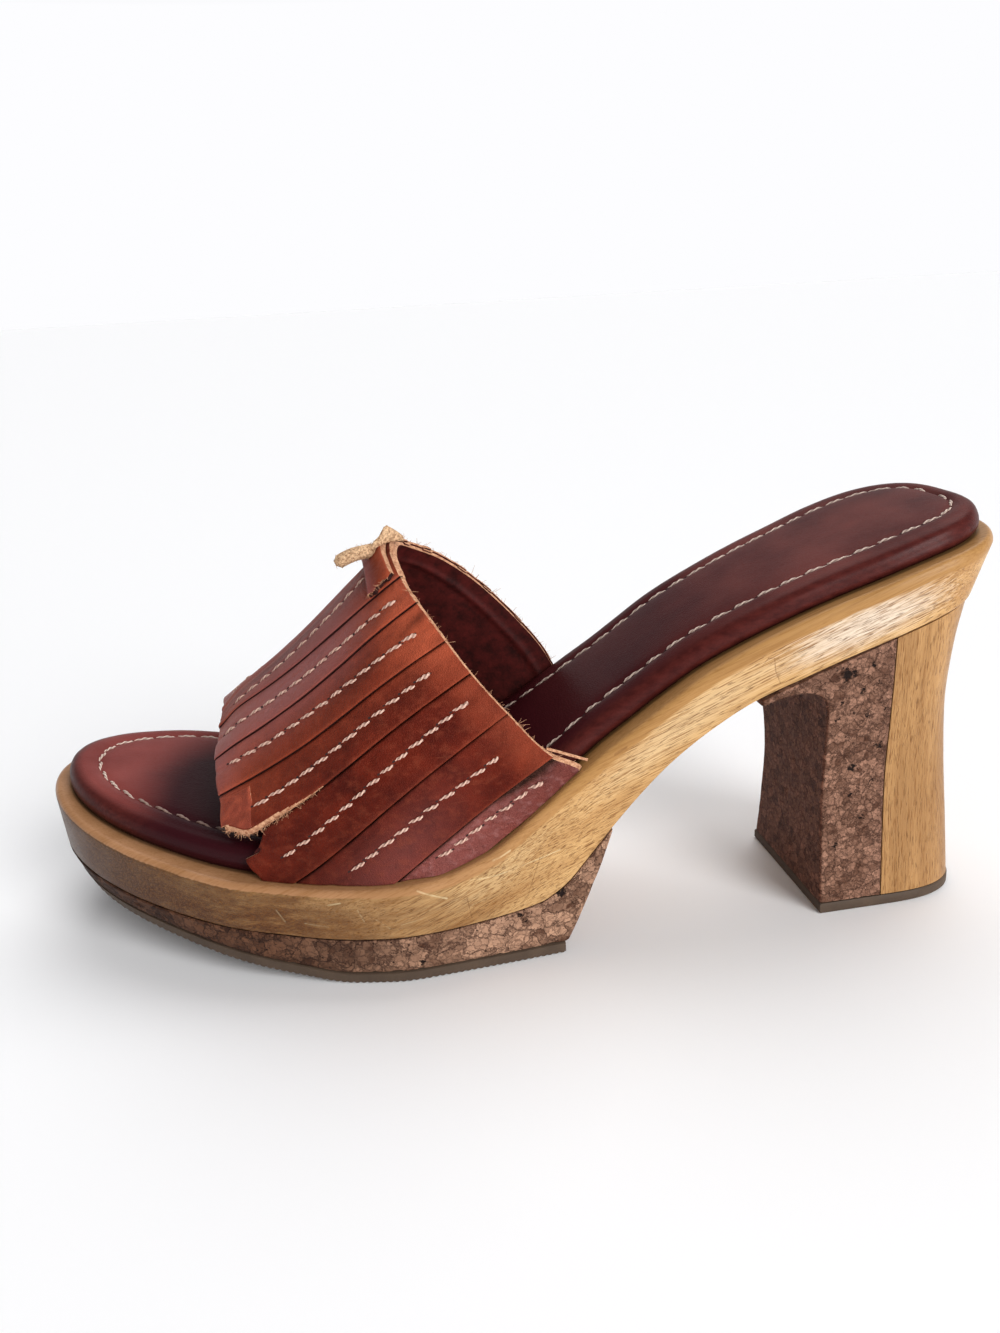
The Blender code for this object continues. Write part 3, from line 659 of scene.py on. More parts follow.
def make_cork(name, granule, tones, pits, shade_paint):
    material, add = new_finish(name)
    place = own_sizes(add)
    shares = []
    rims = []
    # large granules, and the small ones that fill the gaps between them
    for size in (granule, granule * SMALL_SHARE):
        grid = add("VectorMath.SCALE", place, 1 / size)
        warp = add("TexNoise", grid, 1.3, 4.0, 0.65, out="Color")
        bend = add("VectorMath.MULTIPLY_ADD", warp, (1.7, 1.7, 1.7), grid)
        cells = add("TexVoronoi", bend, 1.0, out="Color")
        shares.append(add("SeparateXYZ", cells, out="X"))
        rims.append(add("TexVoronoi", bend, 1.0, feature="DISTANCE_TO_EDGE"))
    cloud = add("TexNoise", place, 1 / 3.2, 6.0, 0.7)
    grit = add("TexNoise", place, 1 / 0.8, 3.0, 0.6)
    mixed = add("Math.MULTIPLY_ADD", shares[0], 0.5, cloud)
    mixed = add("Math.MULTIPLY_ADD", shares[1], 0.3, mixed)
    tone = add("MapRange", mixed, 0.46, 1.24)
    bark = add("Mix", tone, *tones)
    shown = add("MapRange", cloud, 0.4, 0.62, 0.03, 0.12)
    seam = add("MapRange", rims[0], shown, 0.0)
    fine = add("MapRange", rims[1], shown, 0.0, 0, 0.6)
    seams = add("Math.MAXIMUM", seam, fine)
    color = paint(add, bark, "#3a2119", seams, 0.9)
    crumb = add("MapRange", grit, 0.66, 0.72)
    color = add("Mix", crumb, color, "#26140e")
    crumble = add("TexNoise", place, 1 / 1.1, 4.0, out="Color")
    torn = add("VectorMath.MULTIPLY_ADD", crumble, (TEAR,) * 3, place)
    lost = 0.0
    for x, y, z, size in pits:
        gap = add("VectorMath.DISTANCE", torn, (x + TEAR / 2, y + TEAR / 2, z + TEAR / 2))
        hole = add("MapRange", gap, size, size * 0.6)
        lost = add("Math.MAXIMUM", hole, lost)
    # the pits are painted near black: painted shade in the hollows where granules fell out
    pitted = add("Mix", lost, color, "#1d100c")
    # painted shade: the front of the heel and the toe of the platform are painted darker
    painted_shade = add("Attribute", attribute_name="painted_shade")
    color = add("Mix", painted_shade, pitted, shade_paint, blend_type="MULTIPLY")
    cut = add("Math.MULTIPLY_ADD", lost, 4.0, seams)
    relief = add("Math.MULTIPLY_ADD", crumb, 2.0, cut)
    rise = add("Math.MULTIPLY_ADD", cloud, -1.2, relief)
    dents = add("Bump", rise, 0.8, 0.22 * MM, invert=True)
    rough = add("MapRange", cloud, 0, 1, 0.5, 0.8)
    look = {"Base Color": color, "Roughness": rough, "Normal": dents, "IOR": 1.4, "Specular IOR Level": 0.2}
    add("OutputMaterial", add("BsdfPrincipled", look))
    return material


coarse_cork = make_cork("coarse_pressed_cork", 4.6, ("#492b1d", "#b38b71"), PLATFORM_PITS, "#8f7a6c")
fine_cork = make_cork("fine_pressed_cork", 2.3, ("#4a2c1e", "#9f7661"), HEEL_PITS, "#b98272")
print("cork nodes:", len(coarse_cork.node_tree.nodes))

# %% [markdown]
# ## The cork platform
# The platform fills the space between the board and the thin rubber sole, and runs out under the arch in a
# thin wedge. A few granules have broken out of its sides, so the sides have many levels and shallow real
# hollows, not only painted ones.

# %% Platform
PLATFORM_SHARE = 2.1
PLATFORM_TOE_TAPER = 2.4
PLATFORM_LEVELS = np.linspace(0, 1, 15)
PLATFORM_EDGE = 0.35
HOLLOW_DEPTH = 0.45
HOLLOW_SIZE = 2.6
# the painted shade grows between two places towards the toe
PLATFORM_PAINTED_SHADE = 0.95
PAINTED_SHADE_PLACES = (-14.0, -64.0)


def platform_bottom(x):
    """Bottom of the cork platform: on the rubber sole, then up its sloping rear face."""
    on_sole = tread(x) + SOLE_THICKNESS + GAP
    return np.where(x <= BREAST_FOOT, on_sole, np.maximum(on_sole, smooth(BREAST, 1, x)))


def hollowed(rings, depth, size, seed, share=1.0):
    """Rings with shallow hollows pressed into their sides where the noise is strong."""
    outward = rings - rings.mean(axis=1, keepdims=True)
    outward[..., 2] = 0
    outward /= np.maximum(np.linalg.norm(outward, axis=2, keepdims=True), 1e-6)
    x, y, z = np.moveaxis(rings, -1, 0)
    strength = np.clip((wobble(x, y, z, size, seed) - 0.32) / 0.25, 0, 1) * depth
    strength = strength + 0.1 * wobble(x, y, z, size * 0.6, seed + 3)
    return rings - outward * (share * strength)[..., None]


station = rim_stations(0.8)
station = np.append(station[station < BREAST_TIP - 0.2], BREAST_TIP)
taper = side_taper(station)
levels = []
for t in PLATFORM_LEVELS:
    edge = PLATFORM_EDGE if t in (0, 1) else 0.0
    inset = taper * blend((PLATFORM_SHARE, 1), t) + edge
    toe = blend((PLATFORM_TOE_TAPER, BOARD_TOE_TAPER), t) + edge
    levels.append(level(station, inset,
                        lambda x: (1 - t) * platform_bottom(x) + t * (underside(x) - GAP), toe))
rings = hollowed(sections(levels), HOLLOW_DEPTH, HOLLOW_SIZE, 4.0)
shade_paint = PLATFORM_PAINTED_SHADE * fade(rings[..., 0], *PAINTED_SHADE_PLACES).ravel()
add_piece("cork_platform", *loft(rings), [coarse_cork], "platform_cork", "cork", facts={"painted_shade": shade_paint})

# %% [markdown]
# ## Rubber sole and top lift
# The sole and the heel's top lift are moulded taupe rubber, matt and a little dusty. The sole has fine ribs
# across, and they are real here: the underside's height follows a wave along the shoe, and its crests stay
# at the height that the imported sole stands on.

# %% Rubber material
def make_rubber():
    material, add = new_finish("moulded_taupe_rubber")
    place = add("TexCoord")
    dust = add("TexNoise", place, 1 / (6 * MM), 5.0)
    grit = add("TexNoise", place, 1 / (0.4 * MM), 2.0)
    color = add("Mix", dust, "#3f332a", "#5d4c3e")
    rough = add("MapRange", dust, 0, 1, 0.5, 0.8)
    dents = add("Bump", grit, 0.35, 0.1 * MM)
    look = {"Base Color": color, "Roughness": rough, "Normal": dents, "IOR": 1.52, "Specular IOR Level": 0.2}
    add("OutputMaterial", add("BsdfPrincipled", look))
    return material


rubber = make_rubber()
print("rubber nodes:", len(rubber.node_tree.nodes))

# %% Ribbed sole
SOLE_SHARE = 2.5
SOLE_TOE_TAPER = 4.0
RIB_PITCH = 1.5
RIB_DEPTH = 0.45
RIB_SAMPLES = 6
# share of the grooves that cuts into the sole's side
RIB_SIDE = 0.7
# the toe's end has no ribs; the lower and upper edges are eased
PLAIN_TOE = 3.0
SOLE_EDGE = (0.5, 0.3)
SOLE_STEPS = (0.06, 0.4, 0.7, 0.94)


def ribs(x):
    """Depth of the grooves between the ribs, 0 on their crests."""
    return RIB_DEPTH * (0.5 - 0.5 * np.cos(2 * np.pi * x / RIB_PITCH)) ** 2


toe_end = rim_stations(1.0)
toe_end = toe_end[toe_end < TOE_TIP + PLAIN_TOE]
ribbed = np.arange(TOE_TIP + PLAIN_TOE + 0.1, BREAST_FOOT, RIB_PITCH / RIB_SAMPLES)
station = np.append(toe_end, ribbed)
taper = side_taper(station)
levels = [level(station, taper * SOLE_SHARE + SOLE_EDGE[0], lambda x: tread(x) + ribs(x),
                SOLE_TOE_TAPER + SOLE_EDGE[0])]
for t in SOLE_STEPS:
    inset = taper * blend((SOLE_SHARE, PLATFORM_SHARE), t)
    toe = blend((SOLE_TOE_TAPER, PLATFORM_TOE_TAPER), t)
    levels.append(level(station, inset,
                        lambda x: tread(x) + t * SOLE_THICKNESS + (1 - t) * RIB_SIDE * ribs(x), toe))
levels.append(level(station, taper * PLATFORM_SHARE + SOLE_EDGE[1], lambda x: tread(x) + SOLE_THICKNESS,
                    PLATFORM_TOE_TAPER + SOLE_EDGE[1]))
add_piece("ribbed_sole", *loft(sections(levels)), [rubber], "outsole", "rubber")

# %% [markdown]
# ## The heel
# The heel is a waisted block in two halves: cork in front, hollowed forward under the arch, and hardwood
# behind with its grain upright. Both halves follow the same rows of outer side, inner side and back, and
# their edges are softened by sanding.

# %% Heel block
# height, outer side, inner side and back of the block
HEEL = (
    (0, -39.8, 1.6, 110.2), (17, -38.8, -1.6, 108.4), (33, -38.2, -3.4, 106.6), (48, -39.2, -0.6, 105.5),
    (60, -40.0, 6.0, 105.6), (70, -40.4, 12.6, 107.0), (78, -40.6, 15.6, 108.4),
)
HEEL_FRONT = 70.3
HEEL_SEAM = 86.0
# the front face turns forward under the board between two shares of its height
HEEL_REACH = 16.0
FILLET_SHARES = (0.8, 0.975)
LIFT_THICKNESS = 2.6
HEEL_FLOORS = np.concatenate([np.linspace(0, 0.8, 45)[:-1], np.linspace(0.8, 1, 36)])
BACK_TURNS = np.radians(np.linspace(-90, 90, 61))
# the back flares out under the board, to run on in the line of its end
HEEL_FLARE = 4.4
FLARE_FROM = 0.66
# the front face is painted dark: painted shade
HEEL_PAINTED_SHADE = 0.55
CORNER = 0.7
# depth, size and seed of the cork's hollows
HEEL_HOLLOWS = (0.5, 2.2, 9.0)


def heel_height(share, x):
    """Height of a point of the heel block, from the top lift up to the underside of the board."""
    foot = LIFT_THICKNESS + GAP
    return foot + share * (underside(x) - GAP - foot)


def heel_front(share):
    """Front face of the heel: upright, then hollowed forward under the arch."""
    rise = np.clip((share - FILLET_SHARES[0]) / (FILLET_SHARES[1] - FILLET_SHARES[0]), 0, 1)
    return HEEL_FRONT - HEEL_REACH * (1 - math.sqrt(1 - rise ** 2.6))


def back_curve(z, start):
    """Rounded back of the heel at one height, from the outer side round to the inner side."""
    outer = smooth(HEEL, 1, z)
    inner = smooth(HEEL, 2, z)
    depth = smooth(HEEL, 3, z) - start
    along = np.maximum(0, np.cos(BACK_TURNS)) ** (2 / HEEL_POWER)
    across = np.abs(np.sin(BACK_TURNS)) ** (2 / HEEL_POWER)
    side = np.where(BACK_TURNS > 0, inner, outer)
    middle = (outer + inner) / 2
    return np.stack([start + depth * along, middle + (side - middle) * across], axis=1)


def rounded_front(front, end, outer, inner):
    """Plan of the cork half: softened front corners, sides with many points, a flat seam."""
    turn = np.radians(np.linspace(0, 90, 6))
    along = np.linspace(front + CORNER, end, 16)
    near = [(front + CORNER * (1 - math.sin(a)), outer + CORNER * (1 - math.cos(a))) for a in turn[::-1]]
    far = [(front + CORNER * (1 - math.sin(a)), inner - CORNER * (1 - math.cos(a))) for a in turn]
    face = [(front, y) for y in np.linspace(inner - CORNER, outer + CORNER, 26)[1:-1]]
    near_side = [(x, outer) for x in along[1:]]
    far_side = [(x, inner) for x in along[:0:-1]]
    return np.array(near + near_side + far_side + far + face)


print("heel at its waist:", round(float(smooth(HEEL, 2, 33) - smooth(HEEL, 1, 33)), 1), "mm wide")

# %% Heel halves
wood_rings = []
cork_rings = []
heel_shade_shares = []
for share in HEEL_FLOORS:
    z = heel_height(share, HEEL_SEAM)
    plan = back_curve(z, HEEL_SEAM + GAP / 2)
    depth = plan[:, 0].max() - plan[0, 0]
    flare = HEEL_FLARE * float(fade(share, FLARE_FROM, 1.15))
    plan[:, 0] = plan[0, 0] + (plan[:, 0] - plan[0, 0]) * (1 + flare / depth)
    wood_rings.append(np.column_stack([plan, heel_height(share, plan[:, 0])]))
    front = heel_front(share)
    plan = rounded_front(front, HEEL_SEAM - GAP / 2, smooth(HEEL, 1, z), smooth(HEEL, 2, z))
    cork_rings.append(np.column_stack([plan, heel_height(share, plan[:, 0])]))
    # painted shade on the front face
    heel_shade_shares.append(HEEL_PAINTED_SHADE * fade(plan[:, 0] - front, CORNER * 0.75, CORNER * 0.35))

wood_points, wood_faces = loft(np.array(wood_rings))
upright = np.stack([wood_points[:, 2], wood_points[:, 0], wood_points[:, 1]], axis=1)
add_piece("heel_wood_back", wood_points, wood_faces, [heel_hardwood], "heel_wood", "wood",
          facts={"grain": upright, "rim_depth": np.full(len(upright), 2.0)})

cork_rings = np.array(cork_rings)
off_seam = fade(cork_rings[..., 0], HEEL_SEAM - 1.5, HEEL_SEAM - 4)
cork_rings = hollowed(cork_rings, *HEEL_HOLLOWS, off_seam)
add_piece("heel_cork_front", *loft(cork_rings), [fine_cork], "heel_cork", "cork",
          facts={"painted_shade": np.concatenate(heel_shade_shares)})

# %% Top lift
LIFT_EDGE = 0.35
# height and inset of each level
LIFT_LEVELS = (
    (0, LIFT_EDGE), (LIFT_EDGE, 0), (LIFT_THICKNESS - LIFT_EDGE, 0), (LIFT_THICKNESS, LIFT_EDGE),
)
plan = np.concatenate([[(HEEL_FRONT, smooth(HEEL, 1, 0))], back_curve(0, HEEL_SEAM),
                       [(HEEL_FRONT, smooth(HEEL, 2, 0))]])
lift_rings = []
inward = plan.mean(axis=0) - plan
inward /= np.linalg.norm(inward, axis=1, keepdims=True)
for z, inset in LIFT_LEVELS:
    lift_rings.append(np.column_stack([plan + inward * inset, np.full(len(plan), z)]))
add_piece("top_lift", *loft(np.array(lift_rings)), [rubber], "heel_top_lift", "rubber")

# %% [markdown]
# ## Insole leather
# The insole is smooth aniline calf over thin foam, dyed red-brown and darkened by wear. The foot has left
# a soft, almost black patch under the toes. The middle is painted darker as the shade of the band, and a
# painted shadow with some dirt lines the foot of the edge. The edge is turned over the foam, keeps the
# deeper red of the dye and shines more than the worn top.

# %% Insole material
PATCH_MIDDLE = (-65.0, -9.0, 32.0)
PATCH_REACH = (26.5, 52.0, 40.0)


def make_insole_leather():
    material, add = new_finish("aniline_calf_insole")
    place = own_sizes(add)
    cloud = add("TexNoise", place, 1 / 22, 4.0)
    pebble = add("TexVoronoi", place, 1 / 0.7, feature="DISTANCE_TO_EDGE")
    dye = add("MapRange", cloud, 0.36, 0.64)
    away = add("VectorMath.SUBTRACT", place, PATCH_MIDDLE)
    reach = add("VectorMath.DIVIDE", away, PATCH_REACH)
    far = add("VectorMath.LENGTH", reach)
    uneven = add("Math.MULTIPLY_ADD", cloud, 0.5, far)
    patch = add("MapRange", uneven, 1.4, 0.8, interpolation_type="SMOOTHSTEP")
    along = add("SeparateXYZ", place, out="X")
    waist = add("MapRange", along, -70.0, -20.0)
    back = add("MapRange", along, 5.0, 85.0)
    rim = add("Attribute", attribute_name="turned_edge")
    front = add("Mix", dye, "#87443f", "#6d302d")
    heel = add("Mix", dye, "#4d2423", "#713c37")
    # the middle darkens towards the band: painted shade of the band
    top = add("Mix", waist, front, "#3d1318")
    top = add("Mix", back, top, heel)
    pulled = add("VectorMath.MULTIPLY", place, (1 / 3.5, 1 / 1.4, 1 / 1.4))
    streak = add("TexNoise", pulled, 1.0, 4.0, 0.65)
    drawn = add("MapRange", streak, 0.35, 0.65)
    edge = add("Mix", drawn, "#3d1513", "#50201c")
    turned = add("Mix", rim, top, edge)
    # the foot of the pad darkens: painted shadow under its overhanging edge, with some dirt
    foot = add("Attribute", attribute_name="foot_shadow_and_dirt")
    turned = add("Mix", foot, turned, "#140706")
    color = add("Mix", patch, turned, "#2f0c12")
    rough = add("MapRange", cloud, 0, 1, 0.34, 0.5)
    grain_cut = add("MapRange", pebble, 0, 0.2)
    relief = add("Math.MULTIPLY_ADD", streak, 1.5, grain_cut)
    dents = add("Bump", relief, 0.3, 0.1 * MM)
    look = {"Base Color": color, "Roughness": rough, "Normal": dents, "IOR": 1.5}
    shine = add("MapRange", rim, 0, 1, 0.03, 0.2)
    look.update({"Specular IOR Level": 0.03, "Specular Tint": linear("#c98a88"), "Coat Weight": shine,
                 "Coat Roughness": 0.3})
    add("OutputMaterial", add("BsdfPrincipled", look))
    return material


insole_leather = make_insole_leather()
print("insole nodes:", len(insole_leather.node_tree.nodes))

# %% [markdown]
# ## The padded insole
# The insole is a soft pad with a rounded, overhanging edge. A row of stitches runs round it, sunk in a
# groove that the thread has pulled into the foam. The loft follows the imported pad's edge and then crosses
# the groove before it closes over the slightly crowned top.

# %% Insole
GROOVE_INSET = 7.0
PAD_HEEL_SHARE = 0.6
# insets between which the turned edge ends
TURNED_INSETS = (0.6, 3.2)
# inset from the ledge and lift off the board, from the foot of the pad over its edge to the top
PAD_EDGE = (
    (0.3, 0.3), (-0.2, 0.9), (-0.45, 1.6), (-0.5, 2.3), (-0.4, 3.2), (-0.1, 4.2), (0.35, 5.0), (1.0, 5.65),
    (1.9, 6.1), (3.2, 6.4), (4.6, 6.5), (5.7, 6.4), (6.4, 6.1), (7.0, 5.9), (7.6, 6.1), (8.3, 6.4),
    (9.5, 6.55), (12.0, 6.65), (15.0, 6.7), (19.0, 6.7),
)


def pad_level(station, inset, lift):
    """One height of the pad, with its profile drawn closer together at the heel's end."""
    heel_inset = HEEL_LEDGE + inset * (PAD_HEEL_SHARE if inset > 0 else 1)
    return level(station, ledge(station) + inset, lambda x: top_face(x) + lift, LEDGE[1] + inset, heel_inset)


station = rim_stations(1.5)
rings = sections([pad_level(station, inset, lift) for inset, lift in PAD_EDGE])
insets = np.array([row[0] for row in PAD_EDGE])
turned = np.tile(1 - fade(np.concatenate([insets, insets[::-1]]), *TURNED_INSETS), len(rings))
lifts = rings[..., 2] - top_face(rings[..., 0])
# the pad's foot is painted dark up to a height, higher at the toe: painted shadow with some dirt
foot_shadow_end = 1.5 + 0.8 * fade(rings[..., 0], -30.0, -60.0)
foot_shadow_and_dirt_share = 0.8 * (1 - np.clip((lifts - 0.5) / (foot_shadow_end - 0.5), 0, 1))
insole = add_piece("padded_insole", *loft(rings), [insole_leather], "insole", "insole_leather",
                   facts={"turned_edge": turned, "foot_shadow_and_dirt": foot_shadow_and_dirt_share.ravel()})

# %% [markdown]
# ## The band's surface
# The band is an arch over the foot: each section is two quarter ovals from the ridge down to the ledge.
# Strips, stitches, tab and lace all lie on it, so one function gives the point at a place along the shoe,
# at a distance from the ridge measured round the arch, and at a lift off it. Distances on the outer side
# are negative. A table of the surface makes that quick for many points.

# %% Band surface
# place along the shoe, middle and height of the ridge
RIDGE = (
    (-76, 4.0, 49.4), (-68.5, 3.0, 54.0), (-49.6, 0.0, 68.0), (-38.8, -2.0, 78.0), (-28.3, -4.0, 88.4),
    (-22, -5.0, 94.4), (0, -8.0, 113.0), (22, -10.0, 128.0),
)
WALL = 1.9
LAP_STEP = 0.9
BAND_INSET = LEDGE[0] - GAP - WALL - LAP_STEP
BAND_SKIRT = 40.0
BAND_STEP = 0.5
ARCH_POINTS = 181
BAND_X = np.arange(-76, 24.1, BAND_STEP)
BAND_D = np.arange(0, 115, BAND_STEP)
OUTER = -1
INNER = 1


def band_side(side):
    """Table of points and normals of one side of the band, and the distance down to the board."""
    turn = np.linspace(0, np.pi / 2, ARCH_POINTS)
    points = np.zeros((len(BAND_X), len(BAND_D), 3))
    feet = np.zeros(len(BAND_X))
    middles = smooth(RIDGE, 1, BAND_X)
    bases = top_face(BAND_X)
    heights = smooth(RIDGE, 2, BAND_X) - bases
    edges = outline(BAND_X, BAND_INSET)[1 if side == OUTER else 2]
    for i, (middle, base, height, edge) in enumerate(zip(middles, bases, heights, edges)):
        y = np.append(middle + (edge - middle) * np.sin(turn), edge)
        z = np.append(base + height * np.cos(turn), base - BAND_SKIRT)
        run = np.concatenate([[0], np.cumsum(np.hypot(np.diff(y), np.diff(z)))])
        points[i, :, 0] = BAND_X[i]
        points[i, :, 1] = np.interp(BAND_D, run, y)
        points[i, :, 2] = np.interp(BAND_D, run, z)
        feet[i] = run[-2] - GAP
    normals = side * np.cross(np.gradient(points, axis=0), np.gradient(points, axis=1))
    normals /= np.linalg.norm(normals, axis=2, keepdims=True)
    return points, normals, feet


BAND = {side: band_side(side) for side in (OUTER, INNER)}


def from_table(table, x, d):
    """Value of a band table between its points."""
    u = np.clip((x - BAND_X[0]) / BAND_STEP, 0, len(BAND_X) - 1.001)
    v = np.clip(d / BAND_STEP, 0, len(BAND_D) - 1.001)
    i = u.astype(int)
    j = v.astype(int)
    p = (u - i)[..., None]
    q = (v - j)[..., None]
    low = table[i, j] * (1 - q) + table[i, j + 1] * q
    high = table[i + 1, j] * (1 - q) + table[i + 1, j + 1] * q
    return low * (1 - p) + high * p


def band_at(x, d, lift):
    """Points of the band at a signed distance from the ridge, lifted off it along its normal."""
    x, d, lift = np.broadcast_arrays(np.asarray(x, float), np.asarray(d, float), np.asarray(lift, float))
    found = np.zeros(x.shape + (3,))
    for side in (OUTER, INNER):
        mine = d < 0 if side == OUTER else d >= 0
        points, normals = BAND[side][:2]
        base = from_table(points, x[mine], np.abs(d[mine]))
        up = from_table(normals, x[mine], np.abs(d[mine]))
        found[mine] = base + up * lift[mine][..., None]
    return found


print("arch of the band at its collar:", round(float(BAND[OUTER][2][100]), 1), "mm from ridge to board")

# %% Cut edges of the band
# height and place along the shoe of the collar on both sides and of the front edge, from the sole up
COLLAR = {
    OUTER: ((46.0, 12.8), (50.5, 5.2), (59.6, -2.4), (69.5, -10.0), (80.4, -17.2), (88.2, -22.2),
            (95.0, -24.4)),
    INNER: ((50.5, 19.0), (58.5, 15.0), (66.0, 9.6), (77.5, -0.4), (86.0, -10.5), (91.0, -19.0),
            (95.0, -24.4)),
}
FRONT_HIGH = ((34.4, -66.4), (39.5, -67.2), (46.4, -69.0), (51.0, -69.8), (57.0, -68.8))
FRONT_LOW = ((26.4, -60.2), (31.6, -63.4), (34.2, -60.2), (40.0, -58.0))
RIDGE_BLEND = 6.0
# beyond this distance from the ridge the front edge may meet the board
FRONT_FOOT = 50.0


def edge_places(side, rows):
    """Where rows of the band meet an edge drawn in side view, for each distance from the ridge."""
    z = BAND[side][0][:, :, 2]
    beyond = BAND_X[:, None] - smooth(rows, 1, z)
    last = np.argmax(beyond > 0, axis=0)
    last = np.where((beyond > 0).any(axis=0), np.maximum(last, 1), len(BAND_X) - 1)
    column = np.arange(len(BAND_D))
    before = beyond[last - 1, column]
    share = np.clip(-before / (beyond[last, column] - before), 0, 1)
    return BAND_X[last - 1] + share * BAND_STEP


EDGES = {}
for side in (OUTER, INNER):
    feet = BAND[side][2]
    rising = np.maximum.accumulate(feet)
    at_board = np.interp(BAND_D, rising + np.arange(len(rising)) * 1e-6, BAND_X)
    low = edge_places(side, FRONT_LOW)
    low = np.where(BAND_D > FRONT_FOOT, np.maximum(low, at_board), low)
    EDGES[side] = {"collar": edge_places(side, COLLAR[side]), "low": low}
    EDGES[side]["high"] = edge_places(side, FRONT_HIGH)


def edge_at(name, d):
    """Place along the shoe of a cut edge at signed distances, the same on both sides at the ridge."""
    d = np.asarray(d, float)
    outer = np.interp(np.abs(d), BAND_D, EDGES[OUTER][name])
    inner = np.interp(np.abs(d), BAND_D, EDGES[INNER][name])
    return blend((outer, inner), fade(d, -RIDGE_BLEND, RIDGE_BLEND))


def board_at(x, side):
    """Distance from the ridge at which the band reaches the board."""
    return np.interp(x, BAND_X, BAND[side][2])


print("collar on the ridge:", round(float(edge_at("collar", 0)), 1), "mm")

# %% [markdown]
# ## Band leather
# The strips are pull-up leather: cowhide stuffed with oil and wax, so it is dark where it lies flat and
# turns orange where it is bent or rubbed. It has a soft waxy sheen, fine creases and a mottled tone. On the
# ridge it is dull, and the lowest strip is crumpled and shines, with painted glints on its crests. The
# collar end is rubbed most, a painted plum sheen stands in for reflections on the ridge and the lowest
# strip, and painted shade lies along the laps, so all three travel as attributes. Where it is cut, the
# fibres show as a tan raw edge.

# %% Leather materials
def make_band_leather(name, gloss, roughness, wrinkle, depth, crest_wear_and_glint, crest_wear_and_glint_tint):
    material, add = new_finish(name)
    place = own_sizes(add)
    rubbed = add("Attribute", attribute_name="rubbed")
    plum = add("Attribute", attribute_name="plum")
    dirt = add("Attribute", attribute_name="dirt")
    cloud = add("TexNoise", place, 1 / 8, 6.0, 0.65)
    fleck = add("TexNoise", place, 1 / 0.9, 3.0, 0.7)
    stretch = add("VectorMath.MULTIPLY", place, (1 / 9, 1 / 0.5, 1 / 0.5))
    streak = add("TexNoise", stretch, 1.0, 3.0)
    folded = add("VectorMath.MULTIPLY", place, (0.7, 1.0, 1.0))
    crease = add("TexNoise", folded, 1 / wrinkle, 5.0, 0.6)
    pebble = add("TexVoronoi", place, 1 / 0.5, feature="DISTANCE_TO_EDGE")
    mottle = add("MapRange", cloud, 0.34, 0.66)
    deep = add("Mix", mottle, "#601d11", "#400f0b")
    patchy = add("MapRange", cloud, 0.36, 0.64, 1.2, 0.76)
    color = paint(add, deep, "#aa5036", rubbed, patchy)
    # a painted plum sheen stands in for reflections of the bright tent
    color = paint(add, color, "#935a57", plum)
    # scuffs, crests of the wrinkles (rubbed, and on the crumpled strip painted glints) and dark flecks
    layers = ((streak, 0.62, 0.78, 0.1, "#b4694a"), (crease, 0.5, 0.68, crest_wear_and_glint, crest_wear_and_glint_tint),
              (fleck, 0.62, 0.74, 0.35, "#331009"))
    for wear, start, end, share, tint in layers:
        color = paint(add, color, tint, add("MapRange", wear, start, end, 0, share))
    # painted shade in the lap lines and under the lifted strip, and dark smudges, the broad low one painted
    # shade
    color = paint(add, color, "#180806", dirt)
    rough = add("MapRange", cloud, 0, 1, *roughness)
    cut = add("MapRange", pebble, 0, 0.25)
    relief = add("Math.MULTIPLY_ADD", crease, depth, cut)
    dents = add("Bump", relief, 0.5, 0.2 * MM)
    look = {"Base Color": color, "Roughness": rough, "Normal": dents, "IOR": 1.5}
    look.update({"Specular IOR Level": gloss, "Specular Tint": linear("#e39a84"), "Coat Weight": 0.015,
                 "Coat Roughness": 0.22})
    add("OutputMaterial", add("BsdfPrincipled", look))
    return material


def make_fibrous(name, pale, dark, size, rough, relief):
    """Fibrous leather: a tone that changes from fibre bundle to fibre bundle over a soft nap."""
    material, add = new_finish(name)
    place = own_sizes(add)
    cloud = add("TexNoise", place, 1 / size, 6.0, 0.7)
    tone = add("MapRange", cloud, 0.35, 0.65)
    color = add("Mix", tone, dark, pale)
    nap = add("Bump", cloud, 0.7, relief * MM)
    look = {"Base Color": color, "Roughness": rough, "Normal": nap, "IOR": 1.45, "Specular IOR Level": 0.25}
    look.update({"Sheen Weight": 0.25, "Sheen Roughness": 0.6, "Sheen Tint": linear(pale)})
    add("OutputMaterial", add("BsdfPrincipled", look))
    return material


# gloss, roughness, then size and depth of the fine wrinkles, and how far and to what tint their crests are
# rubbed: the ridge is dull, the lowest strip is crumpled and shines, and its pale crests are painted glints
band_leather = make_band_leather("pull_up_cowhide", 0.16, (0.3, 0.52), 2.0, 6.0, 0.25, "#8f4530")
ridge_leather = make_band_leather("dull_pull_up_cowhide", 0.05, (0.4, 0.6), 2.0, 6.0, 0.2, "#8f5a50")
crumpled_leather = make_band_leather("crumpled_pull_up_cowhide", 0.45, (0.24, 0.4), 1.5, 16.0, 0.3, "#a87876")
